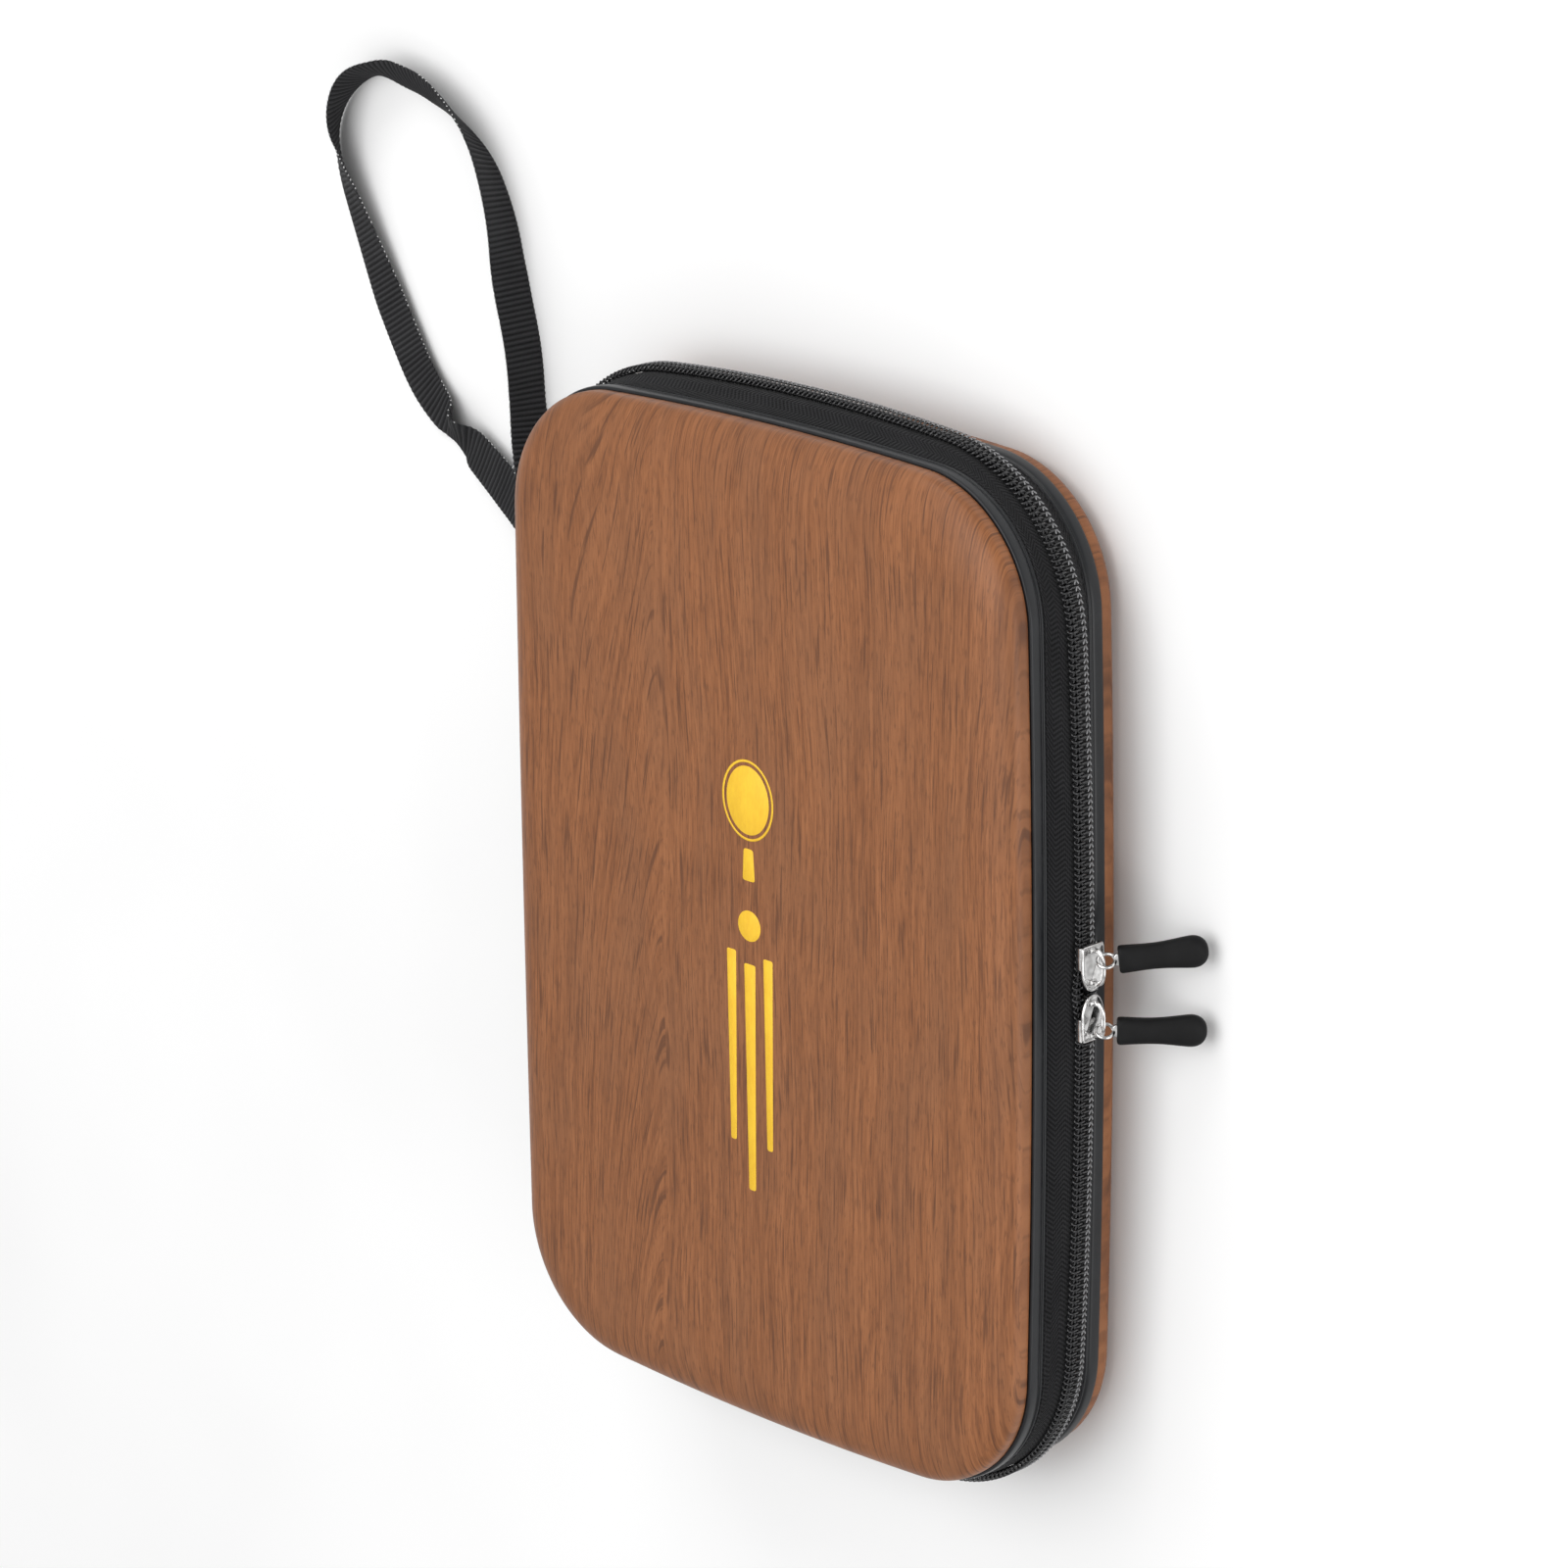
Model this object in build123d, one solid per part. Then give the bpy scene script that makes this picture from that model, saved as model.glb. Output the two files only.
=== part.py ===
"""Hard-shell paddle case: two moulded half shells joined by a fabric spine and a two-slider zip.

Frame: the case lies on its back shell. +Z points up out of the lid, +Y runs along the case and
the spine is on the -X side. The origin is the centre of the back shell's flat face. Millimetres.
"""
from build123d import *
from math import asin, degrees, pi, radians, sqrt, tan
import os

# Case outline: four shallow arcs with rounded corners
CASE_LENGTH = 300.0
CASE_DEPTH = 48.0
SPINE_X = -101.4
ZIP_X = 103.6
END_BOW = 4.3
SPINE_BOW = 0.7
ZIP_BOW = 2.9
CORNER_RADIUS = 40.0
MID = CASE_DEPTH / 2

# Moulded shells, linings, and the welt that covers each shell's rim
EDGE_REACH = 18.0
EDGE_DROP = 7.0
FACE_SKIM = 0.02
SHELL_WALL = 3.0
LINING = 0.7
RIM_Z = 15.0
TRIM_Z = 10.0
TRIM_PROUD = 0.8
TRIM_DEPTH = 1.6
BINDING = 0.8
BINDING_Z = 10.8

# Zip: the coil's ridge stands out from the trim along the ends and the zip side
COIL_OUT_CORNER = 2.4
COIL_OUT_END = 6.3
COIL_OUT_ZIP = 6.0
COIL_OUT_SPINE = 1.3
COIL_RADIUS = 52.0
COIL_THICK = 2.2
COIL_HEIGHT = 2.2
HALF_GAP = 1.2
TAPE = 0.8
TAPE_FOLD_Z = 19.6
TAPE_OUT = 0.2
SPINE_HALF = 98.0
SPINE_REACH = 60.0
STOP_LENGTH = 3.5
STOP_PROUD = 0.15
STOP_DEEP = 0.5

# Sliders, in the ridge with their noses facing each other
MEET_Y = 5.9
NOSE_GAP = 1.0
SLIDER_LENGTH = 13.4
TAIL_WIDTH = 9.0
SHOULDER_WIDTH = 8.0
NOSE_WIDTH = 2.6
SHOULDER_BACK = 4.0
TAIL_START = 8.0
PLATE = 0.9
PLATE_OUT = 2.6
FLANGE_OUT = 1.4
FLANGE = 0.8
FLANGE_LENGTH = 7.5
WING = 0.9
WING_GAP = 0.5
WING_LENGTH = 11.0
WING_WIDTH = 5.0
POST_LENGTH = 3.2
POST_THICK = 0.6
BAIL_WIRE = 0.7
BAIL_HALF = 4.8
BAIL_HEIGHT = 3.9
BAIL_CORNER = 2.4
BAIL_SINK = 0.2
BAIL_BACK = 0.5

# Pulls: a wire ring with a flat tongue, and a rubber sleeve pressed over the tongue
RING_RADIUS = 2.5
RING_WIRE = 0.5
RING_TWIST = {"upper": -60.0, "lower": 60.0}
RING_HANG = {"upper": 0.8, "lower": 0.4}
RING_BACK = 2.4
TONGUE_LENGTH = 8.0
TONGUE_WIDTH = 3.0
TONGUE_THICK = 1.0
NECK = 1.1
SLEEVE_LENGTH = 24.8
SLEEVE_NECK = 7.8
SLEEVE_WAIST = 7.2
SLEEVE_BULB = 9.4
SLEEVE_THICK = 5.0
SLEEVE_EDGE = 1.9
PULL_DROOP = 45.0
PULL_YAW = {"upper": 6.0, "lower": 0.0}

# Fittings inside: a net pocket in the lid and an elastic band across the base
NET_Z = 34.2
NET_THICK = 0.8
NET_TOP_Y = 30.0
NET_BAND_WIDTH = 10.0
NET_BAND_THICK = 1.8
BAND_Y = -38.0
BAND_WIDTH = 38.0
BAND_THICK = 1.4
BAND_TOP_Z = 19.0
BAND_TOP_HALF = 54.0
BAND_FOOT_IN = 70.0
BAND_FOOT_OUT = 83.0

# Wrist strap: webbing 14 by 1.2, drawn here as a round cord of the same section
STRAP_WIDTH = 14.0
STRAP_THICK = 1.2
STRAP_BEND = 0.45
TAB_REACH = 3.4
TAB_HEIGHT = 2.6
TAB_SPACE = 0.1
STRAP_ROUTE = [
    (-105.6, 100.0, 16.5),
    (-115.0, 101.0, 14.4),
    (-128.0, 108.0, 9.8),
    (-134.5, 123.0, 7.2),
    (-135.5, 142.0, 7.0),
    (-141.5, 163.0, 7.0),
    (-144.5, 182.0, 7.0),
    (-154.0, 201.5, 6.4),
    (-172.0, 212.5, 5.2),
    (-190.0, 217.5, 5.0),
    (-207.0, 217.5, 6.6),
    (-219.5, 203.0, 6.4),
    (-221.5, 188.0, 4.4),
    (-212.5, 168.0, 2.8),
    (-199.0, 142.5, 2.5),
    (-184.5, 119.5, 2.5),
    (-163.0, 106.0, 2.8),
    (-143.0, 95.0, 5.0),
    (-125.0, 87.0, 11.0),
    (-113.0, 84.3, 15.0),
    (-105.6, 84.0, 16.5),
]


def rounded_outline(left, right, top, middles, radius):
    """Flat face bounded by four arcs through the middle points, with rounded corners."""
    corners = [(left, -top), (right, -top), (right, top), (left, top)]
    sides = []
    for number, middle in enumerate(middles):
        sides.append(ThreePointArc(corners[number], middle, corners[(number + 1) % 4]))
    face = make_face(sides)
    return fillet(face.vertices(), radius)


def outline(grow):
    """Outline of the case at the shells' walls, moved outwards by grow."""
    end = CASE_LENGTH / 2 + grow
    middles = [(0, -end), (ZIP_X + grow, 0), (0, end), (SPINE_X - grow, 0)]
    left = SPINE_X + SPINE_BOW - grow
    right = ZIP_X - ZIP_BOW + grow
    return rounded_outline(left, right, end - END_BOW, middles, CORNER_RADIUS + grow)


def ridge(grow):
    """Outline of the zip's ridge at the middle of the coil, moved outwards by grow."""
    end = CASE_LENGTH / 2 + COIL_OUT_END + grow
    zip_side = ZIP_X + COIL_OUT_ZIP + grow
    spine_side = SPINE_X - COIL_OUT_SPINE - grow
    middles = [(0, -end), (zip_side, 0), (0, end), (spine_side, 0)]
    top = CASE_LENGTH / 2 - END_BOW + COIL_OUT_CORNER + grow
    right = ZIP_X - ZIP_BOW + COIL_OUT_CORNER + grow
    return rounded_outline(spine_side + SPINE_BOW, right, top, middles, COIL_RADIUS + grow)


def block(face, low, high):
    """Upright solid over a flat face between two heights."""
    return Pos(0, 0, low) * extrude(face, high - low)


def ring(outer, inner, low, high):
    """Upright wall between two nested outlines."""
    return block(outer, low, high) - block(inner, low, high)


def dished_block(inset, reach, drop, low, high):
    """Solid block whose lower edge is a quarter ellipse, reach inwards by drop upwards.

    It is drawn a skim too low and then cut level, so that its lower face is a true plane.
    """
    squash = drop / reach
    tall = (high - low + FACE_SKIM) / squash
    round_block = extrude(outline(-inset), tall)
    bottom_edges = round_block.faces().sort_by(Axis.Z)[0].edges()
    round_block = fillet(bottom_edges, reach)
    lowered = Pos(0, 0, low - FACE_SKIM) * scale(round_block, by=(1, 1, squash))
    return split(lowered, bisect_by=Plane.XY.offset(low), keep=Keep.TOP)


def tray(inset, wall, high):
    """Dished tray of even wall thickness, open at the top."""
    outer = dished_block(inset, EDGE_REACH - inset, EDGE_DROP, inset, high)
    hollow_inset = inset + wall
    hollow = dished_block(hollow_inset, EDGE_REACH - hollow_inset, EDGE_DROP, hollow_inset, high + 1)
    return outer - hollow


def shell():
    """Moulded shell, with a step round its rim for the welt."""
    step = ring(outline(5), outline(-TRIM_DEPTH), TRIM_Z, RIM_Z + 1)
    return tray(0, SHELL_WALL, RIM_Z) - step


def lining():
    return tray(SHELL_WALL, LINING, RIM_Z - 0.5)


def trim():
    """Rubber welt over the shell's rim, with rounded outer edges."""
    outer = block(outline(TRIM_PROUD), TRIM_Z, RIM_Z)
    corners = outer.faces().filter_by(Axis.Z).edges()
    outer = fillet(corners, 0.7)
    return outer - block(outline(-TRIM_DEPTH), TRIM_Z, RIM_Z)


def binding():
    """Woven tape that covers the seam inside."""
    inset = SHELL_WALL + LINING
    return ring(outline(-inset), outline(-inset - BINDING), BINDING_Z, RIM_Z + 0.6)


def tented(low_grow, ridge_grow, top):
    """Solid that leans out from the rim to the fold line, then stands straight up to top."""
    foot = Pos(0, 0, RIM_Z) * outline(low_grow)
    fold = Pos(0, 0, TAPE_FOLD_Z) * ridge(ridge_grow)
    return loft([foot, fold], ruled=True) + block(ridge(ridge_grow), TAPE_FOLD_Z, top)


def tape_ring():
    top = MID - HALF_GAP / 2
    outer = tented(TAPE_OUT, -COIL_THICK / 2, top)
    inner = tented(TAPE_OUT - TAPE, -COIL_THICK / 2 - TAPE, top)
    return outer - inner


def spine_zone(half):
    """Box round the spine side of the case."""
    return Pos(SPINE_X, 0, MID) * Box(SPINE_REACH, 2 * half, CASE_DEPTH)


def coil():
    """One half of the coil, as a plain bead along the ridge."""
    top = MID - HALF_GAP / 2
    bead = ring(ridge(COIL_THICK / 2), ridge(-COIL_THICK / 2), top - COIL_HEIGHT, top)
    return bead - spine_zone(SPINE_HALF + STOP_LENGTH)


def zip_stops():
    """Two crimped stops, one at each end of a coil half."""
    top = MID - HALF_GAP / 2
    outer = ridge(COIL_THICK / 2 + STOP_PROUD)
    band = ring(outer, ridge(-COIL_THICK / 2), top - COIL_HEIGHT - STOP_DEEP, top)
    return (band & spine_zone(SPINE_HALF + STOP_LENGTH)) - spine_zone(SPINE_HALF)


def half_parts():
    """Everything that the base and the lid both have."""
    tape = tape_ring()
    return {
        "shell": shell(),
        "lining": lining(),
        "trim": trim(),
        "seam_binding": binding(),
        "zip_tape": tape - spine_zone(SPINE_HALF),
        "spine_fabric": tape & spine_zone(SPINE_HALF),
        "zip_coil": coil(),
        "zip_stops": zip_stops(),
    }


def net_pocket():
    """Net stretched across the lower part of the lid."""
    inset = SHELL_WALL + LINING + BINDING
    sheet = block(outline(-inset), NET_Z, NET_Z + NET_THICK)
    keep = Pos(0, NET_TOP_Y - CASE_LENGTH / 2, NET_Z) * Box(CASE_LENGTH, CASE_LENGTH, CASE_DEPTH)
    return sheet & keep


def net_band():
    """Elastic band along the net's open edge."""
    inset = SHELL_WALL + LINING + BINDING
    low = NET_Z + NET_THICK / 2 - NET_BAND_THICK / 2
    sheet = block(outline(-inset), low, low + NET_BAND_THICK)
    middle = NET_TOP_Y + NET_BAND_WIDTH / 2
    return sheet & (Pos(0, middle, low) * Box(CASE_LENGTH, NET_BAND_WIDTH, CASE_DEPTH))


def paddle_band():
    """Elastic band that arches across the base and holds a paddle down."""
    floor = SHELL_WALL + LINING
    under = [
        (-BAND_FOOT_OUT, floor),
        (-BAND_FOOT_IN, floor),
        (-BAND_TOP_HALF, BAND_TOP_Z),
        (BAND_TOP_HALF, BAND_TOP_Z),
        (BAND_FOOT_IN, floor),
        (BAND_FOOT_OUT, floor),
    ]
    over = [(x, z + BAND_THICK) for x, z in reversed(under)]
    side = make_face(Polyline(under + over, close=True))
    return Pos(0, BAND_Y, 0) * extrude(Plane.XZ * side, BAND_WIDTH / 2, both=True)


def zip_side_arc():
    """Centre and radius of the arc that the ridge follows along the zip side."""
    half_chord = CASE_LENGTH / 2 - END_BOW + COIL_OUT_CORNER
    rise = COIL_OUT_ZIP + ZIP_BOW - COIL_OUT_CORNER
    radius = (half_chord ** 2 + rise ** 2) / (2 * rise)
    return ZIP_X + COIL_OUT_ZIP - radius, radius


def on_ridge(part, y):
    """Place a part, drawn about the ridge at y = 0, at another y along the arc."""
    centre, radius = zip_side_arc()
    from_centre = Pos(radius, 0, 0) * part
    return Pos(centre, 0, MID) * Rot(0, 0, degrees(asin(y / radius))) * from_centre


def slider_plate():
    """Shield-shaped plate: a narrow rounded nose towards -Y and a square tail towards +Y."""
    nose = -SLIDER_LENGTH / 2
    tail = SLIDER_LENGTH / 2
    right = [
        (nose, NOSE_WIDTH / 2),
        (nose + SHOULDER_BACK, SHOULDER_WIDTH / 2),
        (tail - TAIL_START, TAIL_WIDTH / 2),
        (tail, TAIL_WIDTH / 2),
    ]
    left = [(y, -z) for y, z in reversed(right)]
    face = make_face(Polyline(right + left, close=True))
    front = face.vertices().filter_by_position(Axis.X, nose - 1, nose + SHOULDER_BACK + 1)
    face = fillet(front, 1.1)
    return Pos(PLATE_OUT, 0, 0) * extrude(Plane.YZ * face, PLATE)


def slider_body():
    """Plate, tail flanges, the post that splits the coil, and the wing behind the tape."""
    nose = -SLIDER_LENGTH / 2
    tail = SLIDER_LENGTH / 2
    flange_deep = PLATE_OUT - FLANGE_OUT
    flange_x = FLANGE_OUT + flange_deep / 2
    flange_y = tail - FLANGE_LENGTH / 2
    flange_z = (TAIL_WIDTH - FLANGE) / 2
    body = slider_plate()
    for side in (-1, 1):
        body += Pos(flange_x, flange_y, side * flange_z) * Box(flange_deep, FLANGE_LENGTH, FLANGE)
    wing_x = -COIL_THICK / 2 - TAPE - WING_GAP - WING / 2
    wing_y = nose + 0.9 + WING_LENGTH / 2
    body += Pos(wing_x, wing_y, 0) * Box(WING, WING_LENGTH, WING_WIDTH)
    post_reach = PLATE_OUT - wing_x
    post_y = nose + 0.9 + POST_LENGTH / 2
    body += Pos(wing_x + post_reach / 2, post_y, 0) * Box(post_reach, POST_LENGTH, POST_THICK)
    return body


def bail():
    """Wire arch along the slider's plate, flat on top and rounded at its shoulders."""
    foot = PLATE_OUT + PLATE - BAIL_SINK
    near, far = BAIL_BACK - BAIL_HALF, BAIL_BACK + BAIL_HALF
    top = foot + BAIL_HEIGHT
    corners = [(foot, near, 0), (top, near, 0), (top, far, 0), (foot, far, 0)]
    arch = FilletPolyline(*corners, radius=BAIL_CORNER)
    start = Plane(origin=arch @ 0, z_dir=arch % 0)
    wire = sweep(start * Circle(BAIL_WIRE), path=arch)
    return wire - Pos(PLATE_OUT - 5 + PLATE, 0, 0) * Box(10, 20, 10)


def pull_pivot():
    """Where the ring hangs on the bail, measured from the ridge at the slider's middle."""
    return PLATE_OUT + PLATE - BAIL_SINK + BAIL_HEIGHT, BAIL_BACK + RING_BACK


def sleeve_start(name):
    """Distance from the pivot to the sleeve's neck end."""
    return RING_HANG[name] + RING_RADIUS - RING_WIRE / 2 + NECK


def pull_link(name):
    """Wire ring and flat tongue, drawn with the pivot at the origin and the pull along +X."""
    ring_turn = Pos(RING_HANG[name], 0, 0) * Rot(RING_TWIST[name], 0, 0)
    loop = ring_turn * Torus(RING_RADIUS, RING_WIRE)
    start = sleeve_start(name) - NECK
    tongue = Pos(start + TONGUE_LENGTH / 2, 0, 0) * Box(TONGUE_LENGTH, TONGUE_WIDTH, TONGUE_THICK)
    return loop + tongue


def pull_sleeve(name):
    """Rubber sleeve: square at the neck, slightly waisted, round at the end."""
    bulb_x = SLEEVE_LENGTH - SLEEVE_BULB / 2
    side = [
        (0, SLEEVE_NECK / 2),
        (0.38 * SLEEVE_LENGTH, SLEEVE_WAIST / 2),
        (bulb_x, SLEEVE_BULB / 2),
    ]
    upper = Spline(side, tangents=[(1, 0), (1, 0)])
    lower = mirror(upper, about=Plane.XZ)
    bulb = ThreePointArc(side[2], (SLEEVE_LENGTH, 0), (bulb_x, -SLEEVE_BULB / 2))
    neck = Line((0, -SLEEVE_NECK / 2), (0, SLEEVE_NECK / 2))
    body = extrude(make_face([upper, bulb, lower, neck]), SLEEVE_THICK / 2, both=True)
    long_edges = body.faces().filter_by(Axis.Z).edges()
    body = fillet(long_edges, SLEEVE_EDGE)
    deep = TONGUE_LENGTH - NECK
    pocket = Pos(deep / 2, 0, 0) * Box(deep, TONGUE_WIDTH, TONGUE_THICK)
    return Pos(sleeve_start(name), 0, 0) * (body - pocket)


def hang_pull(part, name):
    """Turn a pull part to its hanging angle and move it to its place on the bail."""
    out, back = pull_pivot()
    return Pos(out, back, 0) * Rot(0, PULL_DROOP, 0) * Rot(0, 0, PULL_YAW[name]) * part


def zip_head(name):
    """One slider with its bail and pull, placed in the ridge."""
    flip = name == "lower"
    parts = {
        "slider": slider_body(),
        "bail": bail(),
        "pull_link": hang_pull(pull_link(name), name),
        "pull_sleeve": hang_pull(pull_sleeve(name), name),
    }
    offset = (NOSE_GAP + SLIDER_LENGTH) / 2
    y = MEET_Y - offset if flip else MEET_Y + offset
    placed = {}
    for piece, solid in parts.items():
        if flip:
            solid = mirror(solid, about=Plane.XZ)
        placed[name + "_" + piece] = on_ridge(solid, y)
    return placed


def strap_tabs():
    """Stitched tabs on the seam, one over each end of the strap."""
    tabs = Part()
    face_x = STRAP_ROUTE[0][0]
    low = RIM_Z + TAB_SPACE
    middle_x = face_x + TAB_REACH / 2
    for end in (STRAP_ROUTE[0], STRAP_ROUTE[-1]):
        tab = Pos(middle_x, end[1], low + TAB_HEIGHT / 2) * Box(TAB_REACH, STRAP_WIDTH + 1, TAB_HEIGHT)
        outside = tab - block(outline(TAPE_OUT), 0, MID)
        tabs += outside
    return tabs


def strap_radii():
    """Radius of each bend of the strap's route."""
    points = [Vector(*point) for point in STRAP_ROUTE]
    radii = []
    for before, here, after in zip(points, points[1:], points[2:]):
        turn = (here - before).get_angle(after - here)
        shorter = min((here - before).length, (after - here).length)
        radii.append(STRAP_BEND * shorter / tan(radians(turn) / 2))
    return radii


def wrist_strap():
    """The strap as a round cord whose section is as large as the webbing's."""
    radius = sqrt(STRAP_WIDTH * STRAP_THICK / pi)
    radii = strap_radii()
    path = FilletPolyline(*STRAP_ROUTE, radius=radii)
    start = Plane(origin=path @ 0, z_dir=path % 0)
    cord = sweep(start * Circle(radius), path=path)
    print("strap length", round(path.length, 1), "diameter", round(2 * radius, 2))
    print("strap bend radii", [round(value, 1) for value in radii])
    print("strap volume", round(cord.volume, 1), "expected", round(pi * radius ** 2 * path.length, 1))
    return cord


def build():
    parts = {}
    lid_plane = Plane.XY.offset(MID)
    for name, solid in half_parts().items():
        parts["base_" + name] = solid
        parts["lid_" + name] = mirror(solid, about=lid_plane)
    parts["net_pocket"] = net_pocket()
    parts["net_band"] = net_band()
    parts["paddle_band"] = paddle_band()
    parts["strap_tabs"] = strap_tabs()
    parts["wrist_strap"] = wrist_strap()
    for name in ("upper", "lower"):
        parts.update(zip_head(name))
    return parts


os.makedirs("parts", exist_ok=True)
for node, solid in build().items():
    export_step(solid, "parts/" + node + ".step")
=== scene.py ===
import math
import random

import bpy
import numpy as np
from mathutils import Matrix, Vector


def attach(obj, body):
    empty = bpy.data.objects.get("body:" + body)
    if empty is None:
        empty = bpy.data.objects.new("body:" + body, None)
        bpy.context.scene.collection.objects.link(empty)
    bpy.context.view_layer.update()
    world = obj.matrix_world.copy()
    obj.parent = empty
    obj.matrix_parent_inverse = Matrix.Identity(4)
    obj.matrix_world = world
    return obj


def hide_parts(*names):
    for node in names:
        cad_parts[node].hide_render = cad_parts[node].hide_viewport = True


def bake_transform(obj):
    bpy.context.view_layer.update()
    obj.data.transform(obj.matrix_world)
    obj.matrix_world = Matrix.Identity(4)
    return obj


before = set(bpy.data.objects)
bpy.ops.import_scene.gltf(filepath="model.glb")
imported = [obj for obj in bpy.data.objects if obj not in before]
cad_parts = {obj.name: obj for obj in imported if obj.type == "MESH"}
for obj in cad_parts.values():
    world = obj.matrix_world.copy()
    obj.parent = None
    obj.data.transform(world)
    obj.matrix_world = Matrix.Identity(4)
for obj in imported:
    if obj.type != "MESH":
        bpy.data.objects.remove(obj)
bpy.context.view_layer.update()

MM = 0.001
DICE = random.Random(7)

# Case, in millimetres, as in part.py: outline, depths and the zip's ridge
END, SPINE_X, ZIP_X, TOP = 150.0, -101.4, 103.6, 48.0
MID = TOP / 2
END_BOW, SPINE_BOW, ZIP_BOW, CORNER = 4.3, 0.7, 2.9, 40.0
OUT_CORNER, OUT_END, OUT_ZIP, OUT_SPINE, RIDGE_CORNER = 2.4, 6.3, 6.0, 1.3, 52.0
SPINE_HALF, STOP_LENGTH = 98.0, 3.5
LOOP_COUNT = 448  # points round each loop
MEET_Y, SLIDER_LENGTH, NOSE_GAP = 5.9, 13.4, 1.0
EDGE_REACH, EDGE_DROP = 18.0, 7.0
COIL_PITCH = 1.8
STRAP_WIDTH, STRAP_THICK, RIB = 14.0, 1.2, 1.65
PARTING_HEIGHT, PARTING_REACH = 1.35, 6.5
THREAD_RADIUS = 0.17


# ---------------------------------------------------------------- camera

def make_camera():
    """Camera at the photograph's viewing angle."""
    right = Vector((0.6956, -0.0106, -0.7184))
    up = Vector((-0.2110, 0.9528, -0.2184))
    back = Vector((0.6868, 0.3035, 0.6604))
    data = bpy.data.cameras.new("camera")
    data.lens = 143.56
    data.sensor_width = 36.0
    data.clip_end = 30.0
    camera = bpy.data.objects.new("camera", data)
    bpy.context.scene.collection.objects.link(camera)
    turn = Matrix((right, up, back)).transposed().to_4x4()
    camera.matrix_world = Matrix.Translation((1.22037, 0.58223, 1.20574)) @ turn
    bpy.context.scene.camera = camera


make_camera()


# ---------------------------------------------------------------- materials

class Finish:
    """A node material, built up step by step. Coordinates are in millimetres."""

    def __init__(self, name, **constants):
        self.material = bpy.data.materials.new(name)
        self.material.use_nodes = True
        self.tree = self.material.node_tree
        self.shader = next(n for n in self.tree.nodes if n.type == "BSDF_PRINCIPLED")
        for socket, value in constants.items():
            self.shader.inputs[socket.replace("_", " ")].default_value = value

    def feed(self, socket, value):
        if isinstance(value, bpy.types.NodeSocket):
            self.tree.links.new(value, socket)
        else:
            socket.default_value = value

    def node(self, kind, inputs=None, **settings):
        made = self.tree.nodes.new(kind)
        for key, value in settings.items():
            setattr(made, key, value)
        for key, value in (inputs or {}).items():
            self.feed(made.inputs[key], value)
        return made

    def math(self, operation, *values):
        made = self.node("ShaderNodeMath", operation=operation)
        for number, value in enumerate(values):
            self.feed(made.inputs[number], value)
        return made.outputs[0]

    def place(self, output="Object"):
        """The three coordinates, in millimetres."""
        coords = self.node("ShaderNodeTexCoord").outputs[output]
        scale = 1000.0 if output == "Object" else 1.0
        moved = self.node("ShaderNodeVectorMath", {0: coords, "Scale": scale}, operation="SCALE")
        split = self.node("ShaderNodeSeparateXYZ", {0: moved.outputs[0]})
        return split.outputs[0], split.outputs[1], split.outputs[2]

    def spread(self, x, y, z, sizes):
        """A vector of x, y and z, each divided by its own size."""
        parts = [self.math("DIVIDE", value, size) for value, size in zip((x, y, z), sizes)]
        joined = self.node("ShaderNodeCombineXYZ", {0: parts[0], 1: parts[1], 2: parts[2]})
        return joined.outputs[0]

    def noise(self, vector, detail=3.0, rough=0.55):
        inputs = {"Vector": vector, "Scale": 1.0, "Detail": detail, "Roughness": rough}
        return self.node("ShaderNodeTexNoise", inputs).outputs[0]

    def wave(self, value, pitch):
        """0 to 1 and back, once a pitch."""
        turned = self.math("MULTIPLY", value, 2 * math.pi / pitch)
        return self.math("MULTIPLY_ADD", self.math("SINE", turned), 0.5, 0.5)

    def ramp(self, value, stops):
        made = self.node("ShaderNodeValToRGB", {0: value})
        elements = made.color_ramp.elements
        while len(elements) < len(stops):
            elements.new(0.5)
        for element, (position, colour) in zip(elements, stops):
            element.position = position
            element.color = (*colour, 1.0)
        return made.outputs[0]

    def mix(self, share, first, second, blend="MIX"):
        made = self.node("ShaderNodeMix", data_type="RGBA", blend_type=blend)
        self.feed(made.inputs[0], share)
        self.feed(made.inputs[6], first)
        self.feed(made.inputs[7], second)
        return made.outputs[2]

    def span(self, value, low, high):
        """value from 0..1 to low..high."""
        return self.math("MULTIPLY_ADD", value, high - low, low)

    def finish(self, colour=None, roughness=None, height=None, depth=0.1, strength=1.0):
        """Links what varies; depth is the height's size in millimetres."""
        if colour is not None:
            self.feed(self.shader.inputs["Base Color"], colour)
        if roughness is not None:
            self.feed(self.shader.inputs["Roughness"], roughness)
        if height is not None:
            inputs = {"Height": height, "Strength": strength, "Distance": depth * MM}
            bump = self.node("ShaderNodeBump", inputs)
            self.feed(self.shader.inputs["Normal"], bump.outputs[0])
        return self.material


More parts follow.
